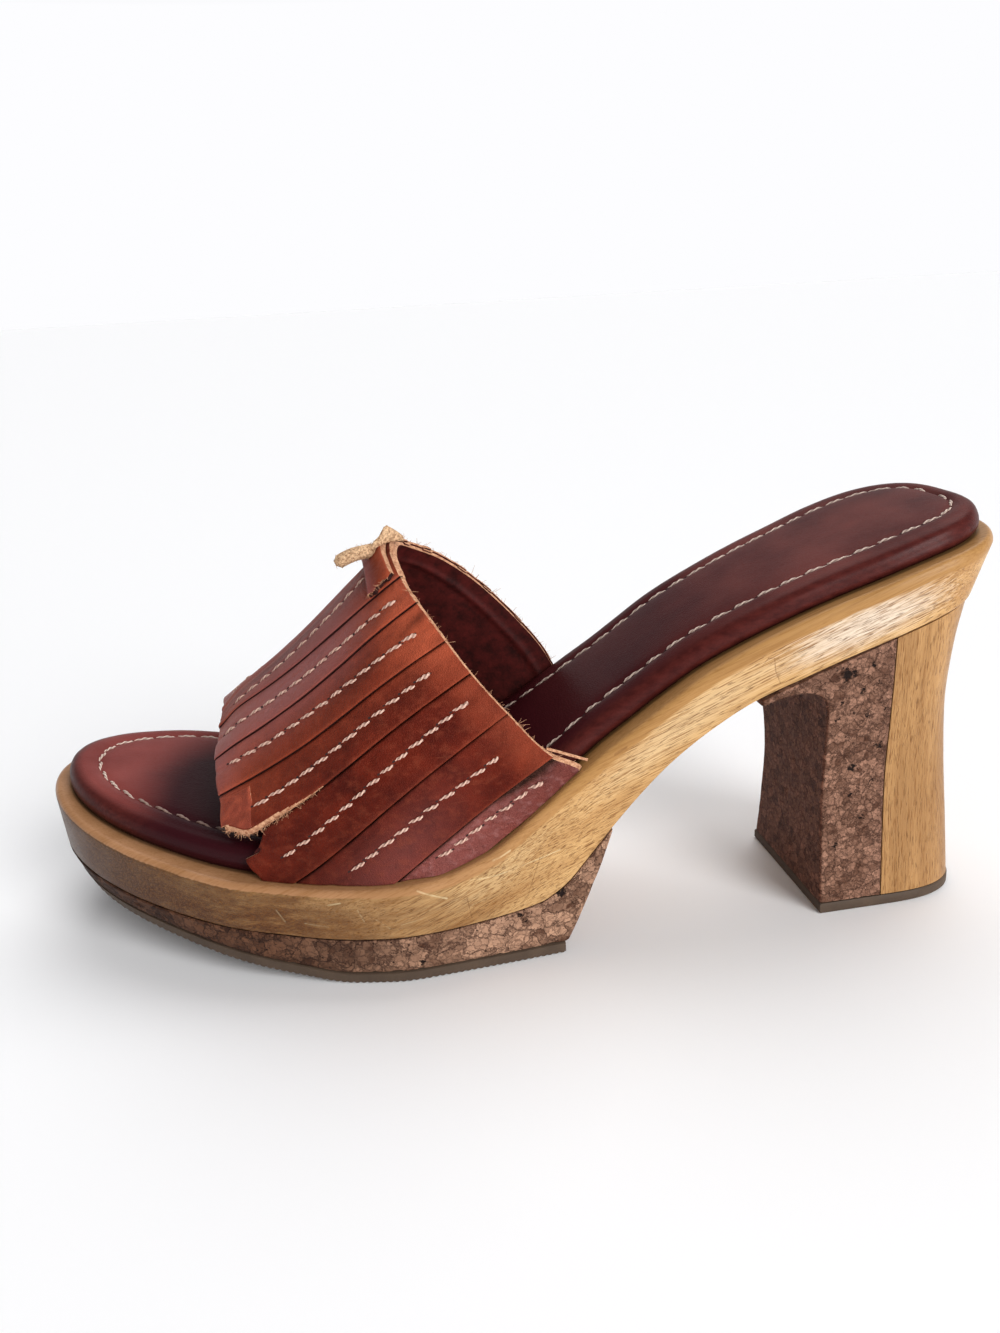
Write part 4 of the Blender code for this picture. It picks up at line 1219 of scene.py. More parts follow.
# raw cuts show pale fibres and burnished ones are dark and closed; the lining is a dull dyed split, and the
# suede of the thong has a pale, open nap
raw_edge = make_fibrous("raw_cut_leather_edge", "#d8a985", "#8d5439", 0.8, 0.9, 0.25)
lining = make_fibrous("dyed_split_lining", "#561a17", "#2e0c0a", 3.0, 0.62, 0.12)
burnt_edge = make_fibrous("burnished_cut_edge", "#3a1712", "#1d0a08", 0.8, 0.7, 0.1)
suede = make_fibrous("tan_suede", "#f0cba2", "#744626", 0.6, 0.95, 0.45)
band_finishes = [band_leather, lining, raw_edge, burnt_edge, ridge_leather, crumpled_leather]
print("leathers:", band_leather.name, raw_edge.name, lining.name, suede.name)

# %% [markdown]
# ## The lapped strips
# Seven strips run from the front edge to the collar on each side, one of them shared over the ridge, and
# each laps over the one below it. Every strip is its own slab with a real thickness: it starts tucked under
# its neighbour, rises to its own cut edge, and sinks a little along its stitch row. One arched base under
# them carries the lining.

# %% Lines of the strips
LINE_ORIGIN = -40.0
# distance from the ridge at the origin and drift along the shoe of each strip's lower edge and stitch row
LAPS = ((12.2, 0.195), (22.8, 0.10), (34.4, 0.125), (45.5, 0.083), (60.9, 0.035), (78.5, 0.0), (88.75, 0.0))
ROWS = ((4.0, 0.0), (17.9, 0.155), (28.5, 0.14), (39.9, 0.07), (53.2, 0.0), (67.6, 0.067), (80.0, 0.067))
TUCK = 3.0
# the fourth strip is cut round at its front corner, and curls up there
CORNER_STRIP = 3
CORNER_CUT = 3.4
CORNER_PLACES = (-61.0, -67.0)
CURL = 0.8
CURL_PLACES = (-46.0, -64.0)
# the sixth strip lifts off the lowest one towards the collar
LIFTED_STRIP = 5
LIFTED = 1.1
LIFT_PLACES = (-12.0, 4.0)
STRIP_THICKNESS = 1.05
# lift of the strip on the ridge, of the others where they leave their neighbour, and how far they dive there
RIDGE_LIFT = 0.5
LAP_LIFT = 0.45
LAP_DIVE = 0.75
GROOVE_DEPTH = 0.28
GROOVE_HALF = 1.0
FIRST_LOW_STRIP = 4


def line_at(line, x):
    """Distance from the ridge of a line of the band."""
    return line[0] + line[1] * (x - LINE_ORIGIN)


def lap_line(number, x):
    """Distance from the ridge of a strip's lower cut edge."""
    line = line_at(LAPS[number], x)
    if number == CORNER_STRIP:
        line = line - CORNER_CUT * fade(x, *CORNER_PLACES)
    return line


def strip_lift(number, x, d):
    """Lift of a strip's upper face off the band's surface, without creases."""
    low_edge = lap_line(number, x)
    if number == 0:
        lift = RIDGE_LIFT + (LAP_STEP - RIDGE_LIFT) * fade(d, 0, low_edge)
    else:
        high_edge = lap_line(number - 1, x)
        lift = LAP_LIFT + (LAP_STEP - LAP_LIFT) * fade(d, high_edge + 1.0, low_edge)
        lift = lift - LAP_DIVE * (1 - fade(d, high_edge - 0.3, high_edge + 0.6))
    groove = np.exp(-((d - line_at(ROWS[number], x)) / GROOVE_HALF) ** 2)
    return lift - GROOVE_DEPTH * groove


# start and end of each trough as place along the shoe and distance from the ridge, its half width and depth,
# where a negative depth is a ridge
TROUGHS = (
    (-20.0, 27.2, -27.0, 29.6, 0.9, 0.30), (-24.0, 31.0, -31.0, 31.6, 1.2, -0.15),
    (-11.5, 50.5, -13.6, 59.5, 0.9, 0.28), (-5.0, 64.0, -8.5, 74.0, 1.0, 0.22),
    (-20.5, 49.0, -17.5, 54.0, 0.7, 0.22), (-22.5, 50.0, -20.0, 55.5, 0.7, 0.22),
    (-24.6, 51.0, -22.6, 56.5, 0.7, 0.20), (-26.8, 52.0, -25.0, 57.0, 0.7, 0.16),
    (-60.0, 13.6, -36.0, 15.0, 0.8, 0.20), (-52.0, 24.6, -40.0, 25.6, 1.1, 0.16),
    (-3.0, 84.5, 4.0, 80.0, 0.9, 0.25), (1.0, 85.0, 7.0, 81.5, 0.8, 0.22),
    (-14.0, 86.0, -8.0, 80.5, 1.2, 0.20), (-56.0, 49.5, -47.0, 48.6, 1.0, 0.15),
    (3.5, 80.2, 6.0, 87.0, 0.8, -0.6), (-1.0, 80.4, 2.5, 88.0, 0.8, 0.6),
    (-6.0, 81.0, -3.0, 88.0, 0.9, -0.5), (-10.5, 80.8, -7.0, 87.0, 0.8, 0.5),
    (-18.0, 82.0, -12.0, 88.0, 0.9, 0.5), (-24.0, 83.5, -18.0, 88.0, 1.0, -0.5),
    (-30.0, 83.0, -26.0, 87.0, 0.9, 0.4), (-44.0, 64.5, -36.0, 63.0, 1.0, 0.2),
    (-33.0, 48.0, -40.0, 52.0, 1.2, 0.18),
)
# the front edge sinks over the ridge: how far, between which places, and over which distances from the ridge
DROOP = 1.9
DROOP_PLACES = (-59.0, -70.5)
DROOP_SPREAD = (8.0, 30.0)


def droop(x, d):
    """How far the front edge of the band sinks near the ridge."""
    return DROOP * fade(x, *DROOP_PLACES) ** 2 * (1 - fade(np.abs(d), *DROOP_SPREAD))


def creases(number, x, d, side):
    """Soft troughs and ridges placed one by one, and slow waves of the hide."""
    layer = 7.0 * number + 3 * side
    wave = 0.14 * wobble(x, d, layer, 9.0)
    wave += 0.05 * wobble(0.35 * x, d, layer, 2.2, 5.0)
    for x0, d0, x1, d1, half, depth in TROUGHS:
        way = np.array((x1 - x0, d1 - d0))
        share = np.clip(((x - x0) * way[0] + (d - d0) * way[1]) / (way @ way), 0, 1)
        gap = np.hypot(x - x0 - share * way[0], d - d0 - share * way[1])
        wave -= depth * np.exp(-(gap / half) ** 2) * (0.35 + 0.65 * np.sin(np.pi * share))
    edge = lap_line(number, x)
    if number == CORNER_STRIP:
        wave += CURL * fade(x, *CURL_PLACES) * fade(d, edge - 7.0, edge)
    if number == LIFTED_STRIP:
        wave += LIFTED * fade(x, *LIFT_PLACES) * fade(d, edge - 6.0, edge)
    return wave - droop(x, d)


print("strips on each side:", len(LAPS))

# %% Slabs
def slab(top, under, kinds):
    """Closed sheet between two grids of points, with the kind of finish of each of its six sides."""
    rows, cols = top.shape[:2]
    index = np.arange(rows * cols).reshape(rows, cols)
    grid = np.stack([index[:-1, :-1], index[:-1, 1:], index[1:, 1:], index[1:, :-1]], axis=-1).reshape(-1, 4)
    down = rows * cols
    faces = [grid, grid + down]
    for edge in (index[:, 0], index[:, -1], index[0], index[-1]):
        faces.append(np.stack([edge[:-1], edge[1:], edge[1:] + down, edge[:-1] + down], axis=-1))
    kind = np.concatenate([np.broadcast_to(np.ravel(k), len(part)) for part, k in zip(faces, kinds)])
    points = np.concatenate([top.reshape(-1, 3), under.reshape(-1, 3)])
    return points, np.concatenate(faces), kind


def join(meshes):
    """Points and faces of several meshes as one."""
    starts = np.cumsum([0] + [len(mesh[0]) for mesh in meshes])
    points = np.concatenate([mesh[0] for mesh in meshes])
    return points, np.concatenate([mesh[1] + start for mesh, start in zip(meshes, starts)])


# finishes of the band in the order of its slots
OUTSIDE, INSIDE, CUT, BURNT, RIDGE_SKIN, CRUMPLED = range(6)
print("finishes of the band:", ", ".join(finish.name for finish in band_finishes))

# %% Grid of a strip
STRIP_COLUMNS = 100
ROW_STEP = 0.6
# rounds in which a row's ends settle on the cut edges
END_ROUNDS = 6
# the plain columns keep off the front edge and the collar
PLAIN_INSET = (1.2, 1.6)
# columns close to the front edge and to the collar, where the cut leather shows as a slanted raw edge
NEAR_FRONT = np.array((0.0, 0.12, 0.3, 0.55, 0.85))
NEAR_COLLAR = np.array((1.15, 0.9, 0.68, 0.48, 0.3, 0.0))
# rows close to the lap line above, measured from it, and to the cut edge below
NEAR_UPPER = np.array((-TUCK, -1.4, -0.6, -0.25, 0.0, 0.15, 0.3, 0.5, 0.8, 1.2))
NEAR_LOWER = np.array((1.1, 0.8, 0.55, 0.35, 0.2, 0.08, 0.0))


def strip_grid(number, side):
    """Grid of places and signed distances over one strip, and the ends of its rows."""
    width = float(lap_line(number, LINE_ORIGIN) - (lap_line(number - 1, LINE_ORIGIN) if number else 0))
    middle_rows = np.linspace(0, 1, int(width * (1 if number else 2) / ROW_STEP))[1:-1]
    near_upper = NEAR_UPPER if number else NEAR_LOWER[::-1]
    share = np.concatenate([near_upper * 0, middle_rows, NEAR_LOWER * 0 + 1])
    below = np.concatenate([near_upper, middle_rows * 0 + near_upper[-1], NEAR_LOWER * 0])
    above = np.concatenate([near_upper * 0, middle_rows * 0 + NEAR_LOWER[0], NEAR_LOWER])

    def distance(x):
        rows = (slice(None),) + (None,) * (x.ndim - 1)
        upper = lap_line(number - 1, x) if number else -lap_line(number, x)
        from_upper = (1 - share[rows]) * (upper + below[rows])
        return side * (from_upper + share[rows] * (lap_line(number, x) - above[rows]))

    ends = []
    for edge in ("low" if number >= FIRST_LOW_STRIP else "high", "collar"):
        x = np.full_like(share, LINE_ORIGIN)
        for _ in range(END_ROUNDS):
            x = edge_at(edge, distance(x))
        ends.append(x)
    start, end = ends
    between = np.linspace(0, 1, STRIP_COLUMNS)
    length = end - start - sum(PLAIN_INSET)
    plain = (start + PLAIN_INSET[0])[:, None] + length[:, None] * between
    x = np.concatenate([start[:, None] + NEAR_FRONT, plain, end[:, None] - NEAR_COLLAR], axis=1)
    return x, np.clip(distance(x), -board_at(x, OUTER), board_at(x, INNER)), start, end


print("columns of a strip:", len(NEAR_FRONT) + STRIP_COLUMNS + len(NEAR_COLLAR))

# %% Wear, painted shade and painted sheen of a strip
# how much painted shade lies in the lap line above each strip
LAP_SHADE = (0.0, 0.85, 0.4, 0.55, 1.0, 1.0, 1.8)
# how far it reaches, and how much further under the lifted strip, where it paints that strip's shadow
LAP_REACH = (0.7, 2.0)
# place along the shoe, distance from the ridge, reach along and across, and strength of each dark smudge;
# the broad one low at the front is painted shade
SMUDGES = (
    (-21.0, 28.5, 4.5, 1.6, 0.45), (-33.0, 30.5, 6.0, 1.6, 0.25), (-15.0, 36.5, 3.0, 1.3, 0.35),
    (-28.0, 21.0, 5.0, 1.5, 0.3), (-54.0, 72.0, 20.0, 16.0, 0.42), (-52.0, 0.0, 18.0, 2.4, 0.4),
)


def lap_shade_and_smudges(number, x, d):
    """Painted shade in the lap line at a strip's upper end, uneven along it and deeper under the lifted
    strip, and the smudges.
    """
    dirt = np.zeros_like(x)
    for place, distance, along, across, strength in SMUDGES:
        dirt += strength * np.exp(-((x - place) / along) ** 2 - ((d - distance) / across) ** 2)
    if number:
        past = d - lap_line(number - 1, x)
        uneven = np.clip(0.8 + 0.7 * wobble(x[0], 9.0 * number, 0, 5.0, 3.0), 0.25, 1)
        reach = LAP_REACH[0]
        if number == LIFTED_STRIP + 1:
            reach = reach + LAP_REACH[1] * fade(x, *LIFT_PLACES)
        dirt += LAP_SHADE[number] * uneven * np.exp(-(np.clip(past, 0, 9) / reach) ** 2)
    return np.clip(dirt, 0, 1)


def rubbed_share(number, x, d, end):
    """How far the leather has turned orange: at the collar, at the front corner and along cut edges."""
    collar = fade(x, end[:, None] - 15.0, end[:, None] - 1.0)
    edge = np.exp(-((lap_line(number, x) - d) / 0.6) ** 2)
    high = 1 - fade(d, 30.0, 50.0)
    near = fade(x, end[:, None] - 9.0, end[:, None] - 1.0)
    share = 0.02 + 0.22 * high + 0.82 * collar * fade(d, 6.0, 22.0) * high
    low = (1 - high) * (number < len(LAPS) - 1)
    share += 0.36 * near * low + 0.2 * edge + 0.12 * np.exp(-((d - 18.0) / 6.0) ** 2)
    front = 0.35 * (1 - fade(x, -68.0, -50.0)) * (1 - fade(d, 36.0, 44.0))
    return np.clip(share + front, 0, 1)


def painted_sheen_share(number, x, d):
    """How far the leather takes a painted plum sheen for reflections: on the lowest strip, near the ridge, at
    the front and the foot.
    """
    ridge = (0.72 + 0.28 * fade(d, 6.0, 16.0)) * (1 - fade(d, 16.0, 32.0))
    ridge = ridge * (1 - 0.95 * fade(x, -40.0, -26.0)) * (0.5 + 0.5 * fade(x, -68.0, -58.0))
    front = 0.6 * (1 - fade(x, -68.0, -60.0)) * fade(d, 8.0, 20.0) * (1 - fade(d, 26.0, 38.0))
    lowest = 0.46 - 0.16 * fade(x, -18.0, 4.0) if number == len(LAPS) - 1 else 0.0
    foot = 0.3 * fade(d, 58.0, 76.0) * (1 - fade(x, -34.0, -8.0))
    return np.clip(np.maximum(lowest, foot) + 0.85 * ridge + 0.8 * front, 0, 0.9)


print("smudges:", len(SMUDGES))

# %% One strip
# length of the rounded front edge, and its drop on the upper strips and on the others
NOSE = 0.8
NOSE_DROP = (0.8, 0.25)
# reach and drop of the rounded lower edge
EDGE_ROUND = (0.4, 0.3)
# width of the raw edge at the collar, and on the lowest strip
RAW_WIDTH = (0.3, 0.8)
RAW_SLOPE = 0.6
# the fourth strip's lower edge is frayed from its front end to here
FRAYED_END = -45.0
FRAYED_FULL = -60.0
FRAYED_WIDTH = 1.4
FRAYED_DROP = 0.7
LEAST_THICKNESS = 0.25


def make_strip(number, side):
    x, d, start, end = strip_grid(number, side)
    away = np.abs(d)
    lift = strip_lift(number, x, away) + creases(number, x, away, side)
    to_front = np.clip((x - start[:, None]) / NOSE, 0, 1)
    raw_width = RAW_WIDTH[number == len(LAPS) - 1]
    to_collar = np.clip((end[:, None] - x) / raw_width, 0, 1)
    raw = np.zeros_like(x)
    if number == CORNER_STRIP:
        raw = FRAYED_WIDTH * (1 - fade(x, FRAYED_FULL, FRAYED_END))
    to_edge = lap_line(number, x) - away
    near_edge = np.clip(to_edge / EDGE_ROUND[0], 0, 1)
    lift -= (1 - np.sqrt(1 - (1 - to_front) ** 2)) * NOSE_DROP[number >= CORNER_STRIP]
    lift -= (1 - np.sqrt(1 - (1 - near_edge) ** 2)) * EDGE_ROUND[1]
    lift -= (1 - to_collar) * RAW_SLOPE + FRAYED_DROP * np.clip(raw - to_edge, 0, 1)
    top = band_at(x, d, lift)
    bottom = strip_lift(number, x, away) - STRIP_THICKNESS - droop(x, away)
    under = band_at(x, d, np.minimum(lift - LEAST_THICKNESS, bottom))
    at_collar = end[:-1, None] - (x[:-1, 1:] + x[:-1, :-1]) / 2 < raw_width
    frayed = to_edge[:-1, :-1] - 0.1 < raw[:-1, :-1]
    hide = {0: RIDGE_SKIN, len(LAPS) - 1: CRUMPLED}.get(number, OUTSIDE)
    skin = np.where(at_collar | frayed & (raw[:-1, :-1] > 0), CUT, hide)
    rim = np.where(raw[-1, :-1] > 0, CUT, BURNT)
    kinds = (skin, INSIDE, CUT if number >= CORNER_STRIP else OUTSIDE, CUT, INSIDE if number else BURNT, rim)
    facts = {"rubbed": rubbed_share(number, x, away, end), "plum": painted_sheen_share(number, x, away)}
    facts["dirt"] = lap_shade_and_smudges(number, x, away)
    return slab(top, under, kinds), {key: np.tile(value.ravel(), 2) for key, value in facts.items()}


# %% Strips of the band
STRIPS = {
    "outer_strips": [(number, OUTER) for number in range(len(LAPS))],
    "inner_strips": [(number, INNER) for number in range(1, len(LAPS))],
}
for name, members in STRIPS.items():
    made = [make_strip(number, side) for number, side in members]
    kinds = np.concatenate([one[0][2] for one in made])
    facts = {key: np.concatenate([one[1][key] for one in made]) for key in ("rubbed", "plum", "dirt")}
    add_piece(name, *join([one[0] for one in made]), band_finishes, "upper", "band_leather", kinds, facts)

# %% [markdown]
# ## The lined base
# Under the strips lies one arched sheet that carries the lining. It ends just short of the strips' edges.
# Along the collar the lining is folded and sewn, which shows as a low ridge a few millimetres in.

# %% Lined base of the band
BASE_TOP = -0.75
BASE_INSET = 0.6
FOLD_INSET = 3.6
FOLD_HEIGHT = 0.45
FOLD_WIDTH = 0.7
BASE_REACH = 88.9
BASE_GRID = (161, 121)
# the base ends at the upper front edge within this distance from the ridge
HIGH_FRONT = 39.0
d = np.linspace(-1, 1, BASE_GRID[0]) * BASE_REACH
start = np.where(np.abs(d) < HIGH_FRONT, edge_at("high", d), edge_at("low", d)) + BASE_INSET
end = edge_at("collar", d) - BASE_INSET * 0.5
along = np.linspace(0, 1, BASE_GRID[1]) ** 0.8
x = blend((start[:, None], end[:, None]), along)
d = np.broadcast_to(d[:, None], x.shape)
d = np.clip(d, -board_at(x, OUTER), board_at(x, INNER))
from_collar = end[:, None] - x
fold = FOLD_HEIGHT * np.exp(-((from_collar - FOLD_INSET) / FOLD_WIDTH) ** 2)
ripple = 0.15 * wobble(x, d, 0, 7.0, 2.0)
sunk = droop(x, d)
base = slab(band_at(x, d, BASE_TOP - sunk), band_at(x, d, ripple - WALL - fold - sunk),
            (INSIDE, INSIDE, INSIDE, CUT, INSIDE, INSIDE))
add_piece("lined_base", *base[:2], band_finishes, "upper", "band_leather", base[2])

# %% [markdown]
# ## Thread
# The stitches are thick waxed linen, two plies twisted together, with painted shade in the grooves
# between them. Each stitch is a short twisted bar that dives into the leather at both ends, so its ends
# are pulled down and its middle stands proud. A dark needle hole, a plug of painted shade, shows between
# two stitches.

# %% Thread materials
def make_thread(name, dark, pale):
    material, add = new_finish(name)
    place = own_sizes(add)
    fuzz = add("TexNoise", place, 1 / 0.5, 3.0)
    worn = add("Attribute", attribute_name="worn")
    clean = add("Mix", fuzz, dark, pale)
    # worn carries painted shade in the grooves between the plies, and soil on worn stitches
    color = add("Mix", worn, clean, "#5a3226")
    nap = add("Bump", fuzz, 0.3, 0.1 * MM)
    look = {"Base Color": color, "Roughness": 0.6, "Normal": nap, "IOR": 1.5}
    add("OutputMaterial", add("BsdfPrincipled", look))
    return material


thread = make_thread("waxed_linen_thread", "#c08a76", "#fbdcc8")
# the insole's stitches take a paler copy of the thread: painted light, as less light falls on its top
lighter_painted_thread = make_thread("linen_thread_painted_lighter", "#cdae9c", "#fbeadb")
# a needle hole is a dark dot of painted shade, with a little dirt in it
needle_hole_shade, add = new_finish("painted_needle_hole_shade")
spot = add("TexNoise", {"Scale": 1 / (0.3 * MM)})
shade = add("Mix", spot, "#1c0c0b", "#33150f")
dark = add("BsdfPrincipled", {"Base Color": shade, "Roughness": 0.9})
add("OutputMaterial", dark)
print("thread nodes:", len(thread.node_tree.nodes))

# %% Stitches
STITCH_RINGS = 15
STITCH_SIDES = 10
STITCH_TURNS = 1.4
STITCH_LEAN = 0.36
# how dark the painted shade in the grooves between the plies is, and how much thicker a row ends
PLY_SHADE = 0.72
END_KNOT = 0.5
# unevenness of length and lean
UNEVEN = 0.08
# half length, half width and depth of a needle hole, its sides, and how far it lies past the stitch
HOLE = (0.36, 0.24, 0.35)
HOLE_SIDES = 8
HOLE_PAST = 0.22
random = np.random.default_rng(20)


def unit(vectors):
    return vectors / np.maximum(np.linalg.norm(vectors, axis=-1, keepdims=True), 1e-9)


def ply_crest(twist, sides):
    """1 on the crests of the two plies of a twisted thread and -1 in the grooves between them."""
    around = np.linspace(0, 2 * np.pi, sides, endpoint=False)
    return np.cos(2 * (around[None, :] - twist[:, None]))


def tube(path, ups, radii, twist, flat=1.0, sides=STITCH_SIDES, lobe=0.36):
    """Points and faces of a closed two-lobed tube along a path, turned about its middle line."""
    ahead = unit(np.gradient(path, axis=0))
    across = unit(np.cross(ahead, ups))
    up = np.cross(across, ahead)
    around = np.linspace(0, 2 * np.pi, sides, endpoint=False)
    size = radii[:, None] * (1 + lobe * ply_crest(twist, sides))
    rings = (path[:, None] + across[:, None] * (size * np.cos(around))[..., None]
             + up[:, None] * (flat * size * np.sin(around))[..., None])
    return loft(rings)


def sew(path, ups, pitch, length, thickness, proud, worn=None):
    """Stitches, needle holes, and painted shade in the ply grooves, along a path; worn gives by its place how
    soiled a stitch is.
    """
    run = np.concatenate([[0], np.cumsum(np.linalg.norm(np.diff(path, axis=0), axis=1))])
    stitches = []
    holes = []
    dirt = []
    places = np.arange(pitch * 0.5, run[-1] - pitch * 0.3, pitch)
    for at in places:
        size = length * (1 + UNEVEN * random.standard_normal())
        spots = np.linspace(at - size / 2, at + size / 2, STITCH_RINGS)
        line = np.stack([np.interp(spots, run, path[:, k]) for k in range(3)], axis=1)
        up = unit(np.stack([np.interp(spots, run, ups[:, k]) for k in range(3)], axis=1))
        share = np.linspace(0, 1, STITCH_RINGS)
        arc = np.sin(np.pi * share ** 1.35)
        lean = (STITCH_LEAN + UNEVEN * random.standard_normal()) * (2 * share - 1)
        side = np.cross(unit(np.gradient(line, axis=0)), up)
        line = line + up * (proud * (1.5 * arc ** 0.6 - 0.75))[:, None] + side * lean[:, None]
        radii = thickness / 2 * (0.55 + 0.45 * arc ** 0.5) * (0.74 + 0.38 * share)
        if at == places[-1]:
            radii = radii * (1 + END_KNOT * share ** 2)
        twist = share * STITCH_TURNS * 2 * np.pi + random.uniform(0, np.pi)
        stitches.append(tube(line, up, radii, twist, 0.85))
        # the grooves between the plies are painted dark: painted shade
        groove = PLY_SHADE * (0.5 - 0.5 * ply_crest(twist, STITCH_SIDES).ravel())
        dirt.append(np.maximum(groove, 0.0 if worn is None else worn(line[STITCH_RINGS // 2])))
        # a dark plug sits in each needle hole: painted shade of the hole
        for end in (0, -1):
            spin = np.linspace(0, 2 * np.pi, HOLE_SIDES, endpoint=False)[:, None]
            ahead = unit(line[-1] - line[0])
            aside = np.cross(ahead, up[end])
            middle = line[end] + up[end] * (0.06 + 0.75 * proud) + ahead * (HOLE_PAST if end else -HOLE_PAST)
            ring = middle + ahead * HOLE[0] * np.cos(spin) + aside * HOLE[1] * np.sin(spin)
            holes.append(loft(np.stack([ring, ring - up[end] * HOLE[2]])))
    return stitches, holes, dirt


# %% Stitch rows of the band
STITCH_PITCH = 4.2
STITCH_LENGTH = 3.85
STITCH_THICKNESS = 0.68
STITCH_PROUD = 0.3
ROW_SAMPLES = 80
# how far each row ends before the front edge and before the collar
ROW_FRONT = (5.0, 2.5, 3.0, 6.5, 6.0, 5.0, 9.0)
ROW_COLLAR = (2.0, 3.2, 4.4, 5.0, 4.4, 3.6, 5.4)

stitches = []
holes = []
dirt = []
for side in (OUTER, INNER):
    for number, line in enumerate(ROWS):
        if number == 0 and side == INNER:
            continue
        front = "low" if number >= FIRST_LOW_STRIP else "high"
        begin = edge_at(front, side * line_at(line, -55.0)) + ROW_FRONT[number]
        finish_x = edge_at("collar", side * line_at(line, -15.0)) - ROW_COLLAR[number]
        x = np.linspace(begin, finish_x, ROW_SAMPLES)
        d = line_at(line, x)
        lift = strip_lift(number, x, d) + creases(number, x, d, side)
        path = band_at(x, side * d, lift)
        ups = band_at(x, side * d, lift + 1) - path
        row = sew(path, ups, STITCH_PITCH, STITCH_LENGTH, STITCH_THICKNESS, STITCH_PROUD)
        stitches += row[0]
        holes += row[1]
        dirt += row[2]
add_piece("band_stitches", *join(stitches), [thread], "upper", facts={"worn": np.concatenate(dirt)})
add_piece("band_needle_hole_shades", *join(holes), [needle_hole_shade], "upper")

# %% Stitch row of the insole
INSOLE_PITCH = 6.0
INSOLE_STITCH = 5.4
INSOLE_THICKNESS = 0.7
INSOLE_PROUD = 0.2
# lift of the groove's floor off the board
GROOVE_LIFT = 5.95


def insole_worn(point):
    """The row is worn dark on the outer side from the toes to the band."""
    return float(fade(point[0], -98.0, -86.0) * (1 - fade(point[0], -10.0, 10.0)) * (point[1] < 0) * 0.8)


station = rim_stations(1.0)
groove = pad_level(station, GROOVE_INSET, GROOVE_LIFT)
loop = np.concatenate([groove[::-1][:, (0, 1, 3)], groove[:, (0, 2, 3)], groove[-1:, (0, 1, 3)]])
tilt = top_face(loop[:, 0] + 0.5) - top_face(loop[:, 0] - 0.5)
ups = unit(np.stack([-tilt, np.zeros(len(loop)), np.ones(len(loop))], axis=1))
stitches, holes, dirt = sew(loop, ups, INSOLE_PITCH, INSOLE_STITCH, INSOLE_THICKNESS, INSOLE_PROUD,
                            insole_worn)
add_piece("insole_stitches", *join(stitches), [lighter_painted_thread], "insole", facts={"worn": np.concatenate(dirt)})
add_piece("insole_needle_hole_shades", *join(holes), [needle_hole_shade], "insole")

# %% [markdown]
# ## The worn front corner
# The front end of the fourth strip is doubled by a small rubbed piece whose edges show raw. It lies on the
# strip and ends with it in a thick frayed edge.

# %% Corner piece
CORNER_RIGHT = (-60.8, -60.0)
CORNER_RISE = 0.4
CORNER_THICKNESS = 0.7
CORNER_RIPPLE = 0.12
CORNER_GRID = (30, 22)
share = np.linspace(0, 1, CORNER_GRID[0])
along = np.linspace(0, 1, CORNER_GRID[1])
left = edge_at("high", -33.0) + 0.15
right = blend(CORNER_RIGHT, share)
x = blend((left, right[:, None]), along)
top_row = lap_line(CORNER_STRIP - 1, x) + 1.5
d = top_row + (lap_line(CORNER_STRIP, x) - FRAYED_WIDTH - top_row) * share[:, None]
edge = np.minimum(share[:, None] * 14, np.minimum(along, 1 - along)[None, :] * 8)
ripple = CORNER_RIPPLE * wobble(x, d, 0, 1.8, 4.0)
merged = fade(along, 0.75, 1.0)[None, :] * fade(share, 0.35, 0.6)[:, None]
rise = (CORNER_RISE + ripple) * (1 - share[:, None] ** 3) * (1 - merged)
rise = rise - 0.3 * (1 - np.clip(edge, 0, 1)) ** 2
lift = strip_lift(CORNER_STRIP, x, d) + creases(CORNER_STRIP, x, d, OUTER) + rise
corner = slab(band_at(x, -d, lift), band_at(x, -d, lift - CORNER_THICKNESS),
              (OUTSIDE, INSIDE, CUT, CUT, CUT, CUT))
rubbed = 0.38 + 0.6 * (1 - np.clip(edge, 0, 1)) * (1 - merged)
rubbed = rubbed + 0.5 * np.clip(ripple / CORNER_RIPPLE, 0, 1)
facts = {"rubbed": np.tile(np.clip(rubbed, 0, 1).ravel(), 2), "plum": np.full(2 * x.size, 0.12)}
add_piece("worn_corner", *corner[:2], band_finishes, "upper", "band_leather", corner[2], facts)

# %% [markdown]
# ## The collar tab
# A small leather tab lies over the ridge at the collar and holds the thong. Its lower edge on the outer
# side is torn, so that edge wanders.

# %% Collar tab
TAB_FRONT = -29.2
TAB_REACH = (-14.4, 8.0)
TAB_THICKNESS = 1.2
TAB_GRID = (50, 30)
# how far the torn edge wanders
TORN = 0.9
share = np.linspace(0, 1, TAB_GRID[0])
across = blend(TAB_REACH, share)
along = np.linspace(0, 1, TAB_GRID[1])
tab_end = edge_at("collar", across) - 1.0
x = blend((TAB_FRONT, tab_end[:, None]), along)
ragged = TORN * wobble(x[0], 0, 0, 1.1, 8.0)
d = across[:, None] + ragged[None, :] * (1 - fade(share, 0.0, 0.12))[:, None]
rise = 0.2 * wobble(x, d, 0, 3.5, 6.0)
edge = np.minimum(np.minimum(share, 1 - share)[:, None] * 24, np.minimum(along, 1 - along)[None, :] * 10)
lift = LAP_STEP + GAP + TAB_THICKNESS + rise - 0.5 * (1 - np.clip(edge, 0, 1)) ** 2
kinds = np.full(np.subtract(TAB_GRID, 1), RIDGE_SKIN)
kinds[:, -1:] = CUT
tab = slab(band_at(x, d, lift), band_at(x, d, lift - TAB_THICKNESS),
           (kinds, INSIDE, OUTSIDE, CUT, BURNT, CUT))
facts = {"rubbed": np.tile((0.25 + 0.6 * fade(x, -28.0, -24.0)).ravel(), 2),
         "plum": np.tile(0.7 * (1 - fade(x, -29.5, -26.0)).ravel(), 2)}
